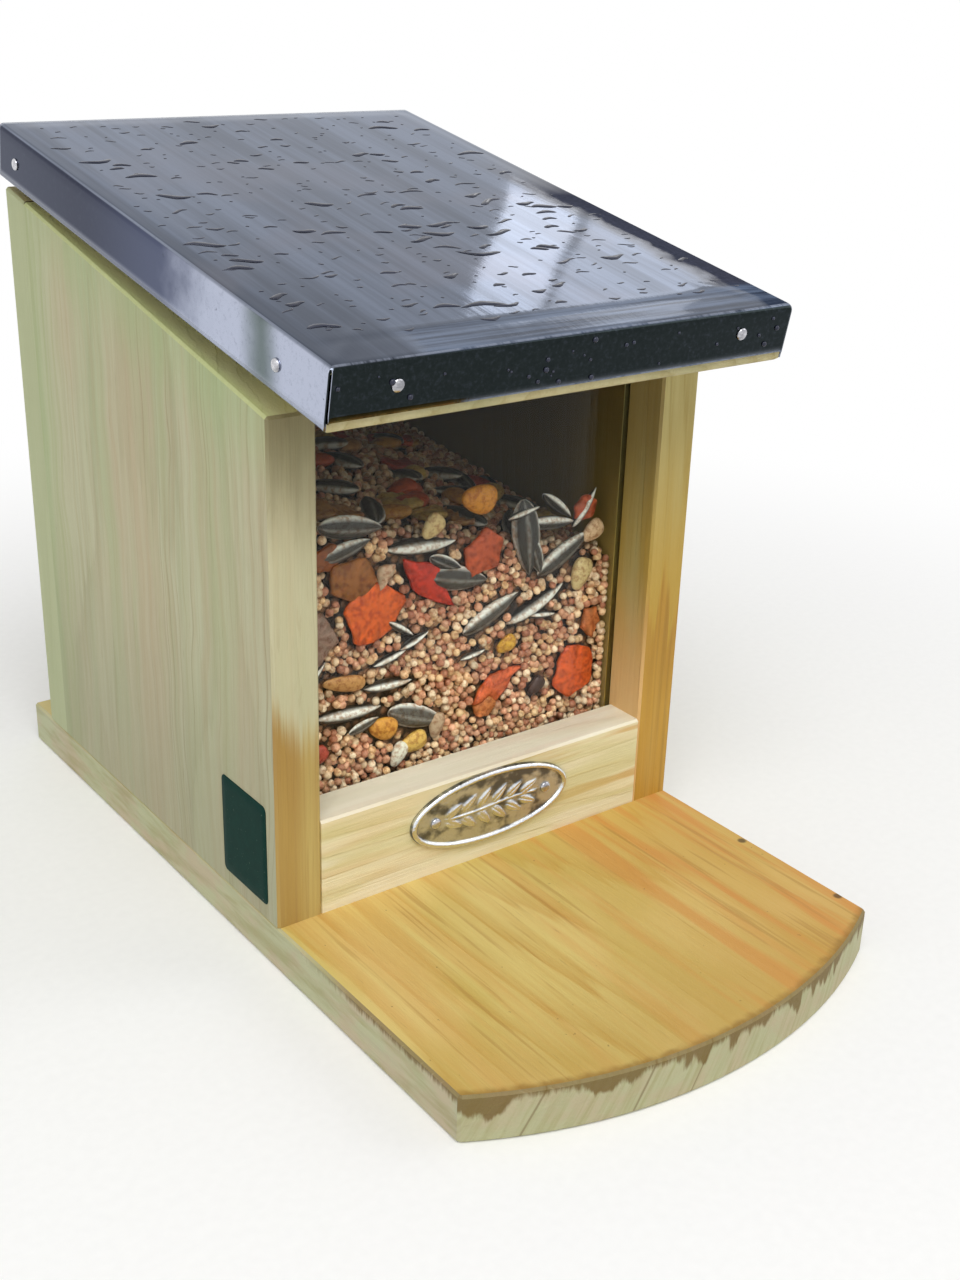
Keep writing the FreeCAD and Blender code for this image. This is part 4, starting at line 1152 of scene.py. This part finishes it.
# %% Flakes
FLAKE_SHARES = np.array([0.9, 1.0, 1.0, 0.92, 0.76, 0.60, 0.44, 0.28, 0.12])
FLAKE_RISES = np.array([0.0, 0.25, 0.75, 1.0, 1.0, 1.0, 1.0, 1.0, 1.0])
FLAKE_SIDES, FLAKE_THICK = 30, 1.5
FLAKE_FACES = pod_faces(len(FLAKE_SHARES), FLAKE_SIDES)


def flake(size, stretch, corners, start):
    """A dried flake: a polygon with uneven corners, drawn out to one side, with a crumpled face."""
    turn = round_turn(FLAKE_SIDES)
    sector = 2 * np.pi / corners
    reach = np.cos(sector / 2) / np.cos((turn + start) % sector - sector / 2)
    reach = size * 0.56 * reach * (1 + 0.12 * np.cos(turn + 2 * start) + 0.05 * np.sin(3 * turn + start))
    wide = np.outer(FLAKE_SHARES, reach * np.cos(turn))
    high = np.outer(FLAKE_SHARES, reach * np.sin(turn) / stretch)
    crumple = 0.45 * np.sin(0.75 * wide + start) * np.cos(0.6 * high + 2 * start)
    crumple = crumple + 0.2 * np.sin(1.9 * (wide + high))
    ring = np.stack([wide, high, FLAKE_THICK * (FLAKE_RISES - 0.5)[:, None] + crumple], -1)
    return np.concatenate([ring.reshape(-1, 3), [[0, 0, -FLAKE_THICK / 2], [0, 0, FLAKE_THICK / 2]]])


# Flakes against the pane: x, z, size, angle, stretch, corners and colour.
FLAKES = [
    (-10, 84.4, 21, -44, 2.6, 4, (196, 44, 22)), (-24, 78.5, 17, 20, 1.15, 5, (220, 88, 24)),
    (8, 88.5, 13, 30, 1.2, 5, (190, 76, 40)), (39, 47.5, 15, 60, 1.1, 5, (216, 82, 28)),
    (12, 50, 16, 22, 2.2, 4, (210, 90, 50)), (9, 45, 7, 10, 1.3, 5, (202, 110, 60)),
    (-31, 88, 14, -15, 1.3, 5, (150, 84, 36)), (-41.2, 76, 15, 80, 1.3, 4, (150, 110, 100)),
    (-22, 88, 9, 60, 1.7, 3, (206, 160, 140)), (40, 94, 8, 20, 1.3, 5, (190, 84, 56)),
    (-38, 95, 9, 10, 1.4, 5, (140, 70, 30)), (44, 62, 8, 80, 1.4, 5, (196, 104, 60)),
]
for x, z, size, angle, stretch, corners, colour in FLAKES:
    form = flake(size, stretch, corners, angle)
    speckle = 1 + 0.35 * np.sin(form[:, :1] * 1.1 + angle) * np.sin(form[:, 1:2] * 1.5) + [0.0, 0.15, 0.0]
    lay_at_pane(form, FLAKE_FACES, seed_axes(angle, 0, 4), x, z, tint(*colour) * speckle)

# %% Kernels
# Maize, oats and nut pieces against the pane: x, z, length, width, angle and colour.
KERNELS = [
    (-8, 97.5, 7, 6, 40, (214, 186, 130)), (-22, 47.4, 8, 6.5, -20, (216, 150, 60)),
    (-13, 41, 8, 6, 10, (222, 178, 88)), (-17.5, 39, 7, 5, 60, (232, 224, 206)),
    (6, 102, 10, 8, -15, (214, 140, 44)), (40, 75.6, 9, 7, 70, (220, 194, 138)),
    (15.5, 61.3, 6, 5, 20, (216, 164, 56)), (-33.5, 62.6, 12, 4.5, -12, (196, 142, 84)),
    (26, 47, 6, 4.5, 40, (72, 46, 38)), (43, 87, 7, 6, 30, (226, 190, 150)),
    (-6, 44, 7, 5, 80, (190, 160, 130)), (-41, 45, 6, 5, 30, (180, 70, 54)),
]
for x, z, length, width, angle, colour in KERNELS:
    form = pod(kernel_outline, length, width, 0.55 * width)
    lay_at_pane(form, HUSK_FACES, seed_axes(angle, 10), x, z, tint(*colour))
front_pieces = len(big_seeds)
print(len(FLAKES), "flakes and", len(KERNELS), "kernels at the pane")


# %% Pieces on top of the heap
def flat_axes(yaw, lean):
    """A turn for a piece that lies on the heap: about z by the yaw, then leaned along its length."""
    along = np.array([np.cos(yaw) * np.cos(lean), np.sin(yaw) * np.cos(lean), np.sin(lean)])
    beside = np.array([-np.sin(yaw), np.cos(yaw), 0.0])
    return np.stack([along, beside, np.cross(along, beside)], 1)


HUES = [tint(206, 84, 30), tint(190, 60, 30), tint(214, 150, 60), tint(222, 184, 100), tint(196, 142, 84)]
HUSK_STRIPES = stripes(tint(60, 56, 52), tint(226, 220, 206))
TOP_HUSK, TOP_KERNEL = pod(husk_outline, 15, 6.2, 3.6), pod(kernel_outline, 8.5, 7, 4.2)
SHADED = 0.62
scattered = dice.uniform([-40, -6, 0, -0.25], [40, 84, np.pi, 0.25], (74, 4))
for number, (x, y, yaw, lean) in enumerate(scattered):
    hue = HUES[number % len(HUES)]
    kinds = [
        (TOP_HUSK, HUSK_FACES, HUSK_STRIPES),
        (flake(12, 1.3, 5, yaw * 5), FLAKE_FACES, hue),
        (TOP_KERNEL, HUSK_FACES, hue),
    ]
    form, faces, tints = kinds[number % len(kinds)]
    lay(form, faces, flat_axes(yaw, lean), (x, y, heap_top(x, y) + 0.6), tints * SHADED)

seed = Finish("seed_husk")
dust = seed.noise(seed.place(), 0.75, 4.0, 0.65)
carried = seed.add("Attribute", result="Color", attribute_name="tint")
seed_finish = seed.surface({
    "Base Color": seed.mix(seed.step(dust, 0.42, 0.66), carried, (204, 174, 154), "MULTIPLY"),
    "Roughness": dust * 0.3 + 0.32, "Specular IOR Level": 0.4,
}, dust, 0.15)
make_piece(
    "large_seeds", *joined(*big_seeds), seed_finish, "house", "seed_mix", tints=np.concatenate(big_tints)
)

# %% Millet grains
MILLET_RADIUS, MILLET_RINGS, MILLET_SIDES = 1.16, 4, 8
GRAIN_SIZES, GRAIN_BRIGHTNESS, GRAIN_FLATNESS = (0.8, 1.12), (0.78, 1.22), 0.86
MILLET_HUES = np.array([tint(*hue) for hue in (
    (226, 184, 142), (238, 204, 164), (206, 150, 116), (244, 216, 182),
    (186, 124, 94), (226, 168, 134), (232, 192, 144),
)])
grain_turn = np.pi * (np.arange(MILLET_RINGS) + 1) / (MILLET_RINGS + 1)
grain_profile = [(0, -1), *zip(np.sin(grain_turn), -np.cos(grain_turn)), (0, 1)]
grain = spun(grain_profile, MILLET_SIDES) * [1.0, 1.0, GRAIN_FLATNESS]
grain_faces = pod_faces(MILLET_RINGS, MILLET_SIDES)


def random_turns(count):
    """Even random turns from unit quaternions."""
    quaternions = dice.normal(size=(4, count))
    w, x, y, z = quaternions / np.linalg.norm(quaternions, axis=0)
    return np.stack([
        np.stack([1 - 2 * (y * y + z * z), 2 * (x * y - w * z), 2 * (x * z + w * y)], -1),
        np.stack([2 * (x * y + w * z), 1 - 2 * (x * x + z * z), 2 * (y * z - w * x)], -1),
        np.stack([2 * (x * z - w * y), 2 * (y * z + w * x), 1 - 2 * (x * x + y * y)], -1),
    ], 1)


def make_millet(name, spots, shade=1.0):
    """Grains of varied size, turn and hue at these spots, all darkened by the shade."""
    count = len(spots)
    sized = grain[None] * (MILLET_RADIUS * dice.uniform(*GRAIN_SIZES, (count, 1, 1)))
    points, faces = copies(sized, grain_faces, random_turns(count), spots)
    hues = MILLET_HUES[dice.integers(0, len(MILLET_HUES), count)]
    hues = hues * dice.uniform(*GRAIN_BRIGHTNESS, (count, 1)) * shade
    make_piece(name, points, faces, seed_finish, "house", "seed_mix", tints=np.repeat(hues, len(grain), 0))


# %% Packing
MILLET_PITCH = 2.15
ROW_STEP = MILLET_PITCH * 0.866
SIDE_START, WALL_GAP, BACK_GAP, GRAIN_SINK = 1.5, 1.3, 1.4, 0.4


def packed_layer(wide, high):
    """Centres of close-packed grains on a flat area: every other row is moved along by half a step."""
    first, second = np.meshgrid(np.arange(0, wide, MILLET_PITCH), np.arange(0, high, ROW_STEP))
    first[1::2] += MILLET_PITCH / 2
    return np.stack([first.ravel(), second.ravel()], 1)


def clear_of(spots, bodies, axes, reach):
    """True for spots that are no nearer than the reach to the points of any larger piece, on two axes."""
    keep = np.ones(len(spots), bool)
    flat = spots[:, axes]
    for points, _ in bodies:
        shape, middle = points[:, axes], points.mean(0)[axes]
        near = np.linalg.norm(flat - middle, axis=1) < np.linalg.norm(shape - middle, axis=1).max() + reach
        keep[near] &= np.linalg.norm(flat[near][:, None] - shape[None], axis=2).min(1) > reach
    return keep


# %% Millet at the pane
MILLET_LOW, MILLET_RISE, FRONT_JITTER, FRONT_REACH = 33, 78, 0.7, 1.1
LAYERS, LAYER_DEPTH, DEPTH_JITTER = 2, 1.5, 1.3
CORNER_GAP, CORNER_STEP = 1.35, 1.9
layer_width = 2 * HOPPER_HALF - 2 * SIDE_START
front_start = HOPPER_FRONT + MILLET_RADIUS * GRAIN_SIZES[1]
front_layers = []
for layer in range(LAYERS):
    start = [-HOPPER_HALF + SIDE_START + 1.1 * layer, MILLET_LOW + 0.7 * layer]
    flat = packed_layer(layer_width, MILLET_RISE) + start
    flat += dice.uniform(-FRONT_JITTER, FRONT_JITTER, flat.shape)
    depth = front_start + LAYER_DEPTH * layer + dice.uniform(0, DEPTH_JITTER, len(flat))
    front_layers.append(np.column_stack([flat[:, 0], depth, flat[:, 1]]))
corner_z = np.arange(MILLET_LOW, HEAP_FRONT[0], CORNER_STEP)
for side in (-1, 1):
    corner = [side * (HOPPER_HALF - CORNER_GAP), HOPPER_FRONT + CORNER_GAP]
    front_layers.append(np.column_stack([np.tile(corner, (len(corner_z), 1)), corner_z]))
spots = np.concatenate(front_layers)
spots = spots[spots[:, 2] < heap_top(spots[:, 0], spots[:, 1]) - GRAIN_SINK]
spots = spots[np.abs(spots[:, 0]) < HOPPER_HALF - WALL_GAP]
make_millet("millet_front", spots[clear_of(spots, big_seeds[:front_pieces], [0, 2], FRONT_REACH)])

# %% Millet on top
TOP_START, TOP_ENDS, TOP_JITTER, TOP_REACH = 4.0, 6, 0.65, 0.5
start = [-HOPPER_HALF + SIDE_START, HOPPER_FRONT + TOP_START]
flat = packed_layer(layer_width, HOPPER_BACK - HOPPER_FRONT - TOP_ENDS) + start
flat += dice.uniform(-TOP_JITTER, TOP_JITTER, flat.shape)
spots = np.column_stack([flat, heap_top(*flat.T) - GRAIN_SINK + dice.uniform(-0.8, 0.6, len(flat))])
spots = spots[(np.abs(spots[:, 0]) < HOPPER_HALF - WALL_GAP) & (spots[:, 1] < HOPPER_BACK - BACK_GAP)]
make_millet("millet_top", spots[clear_of(spots, big_seeds[front_pieces:], [0, 1], TOP_REACH)], SHADED)

# %% Sizes of the imported model and of the finished scene
size = {"cad": [list(map(float, corner)) for corner in cad_box]}
size["visual"] = [list(map(float, corner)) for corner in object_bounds()]
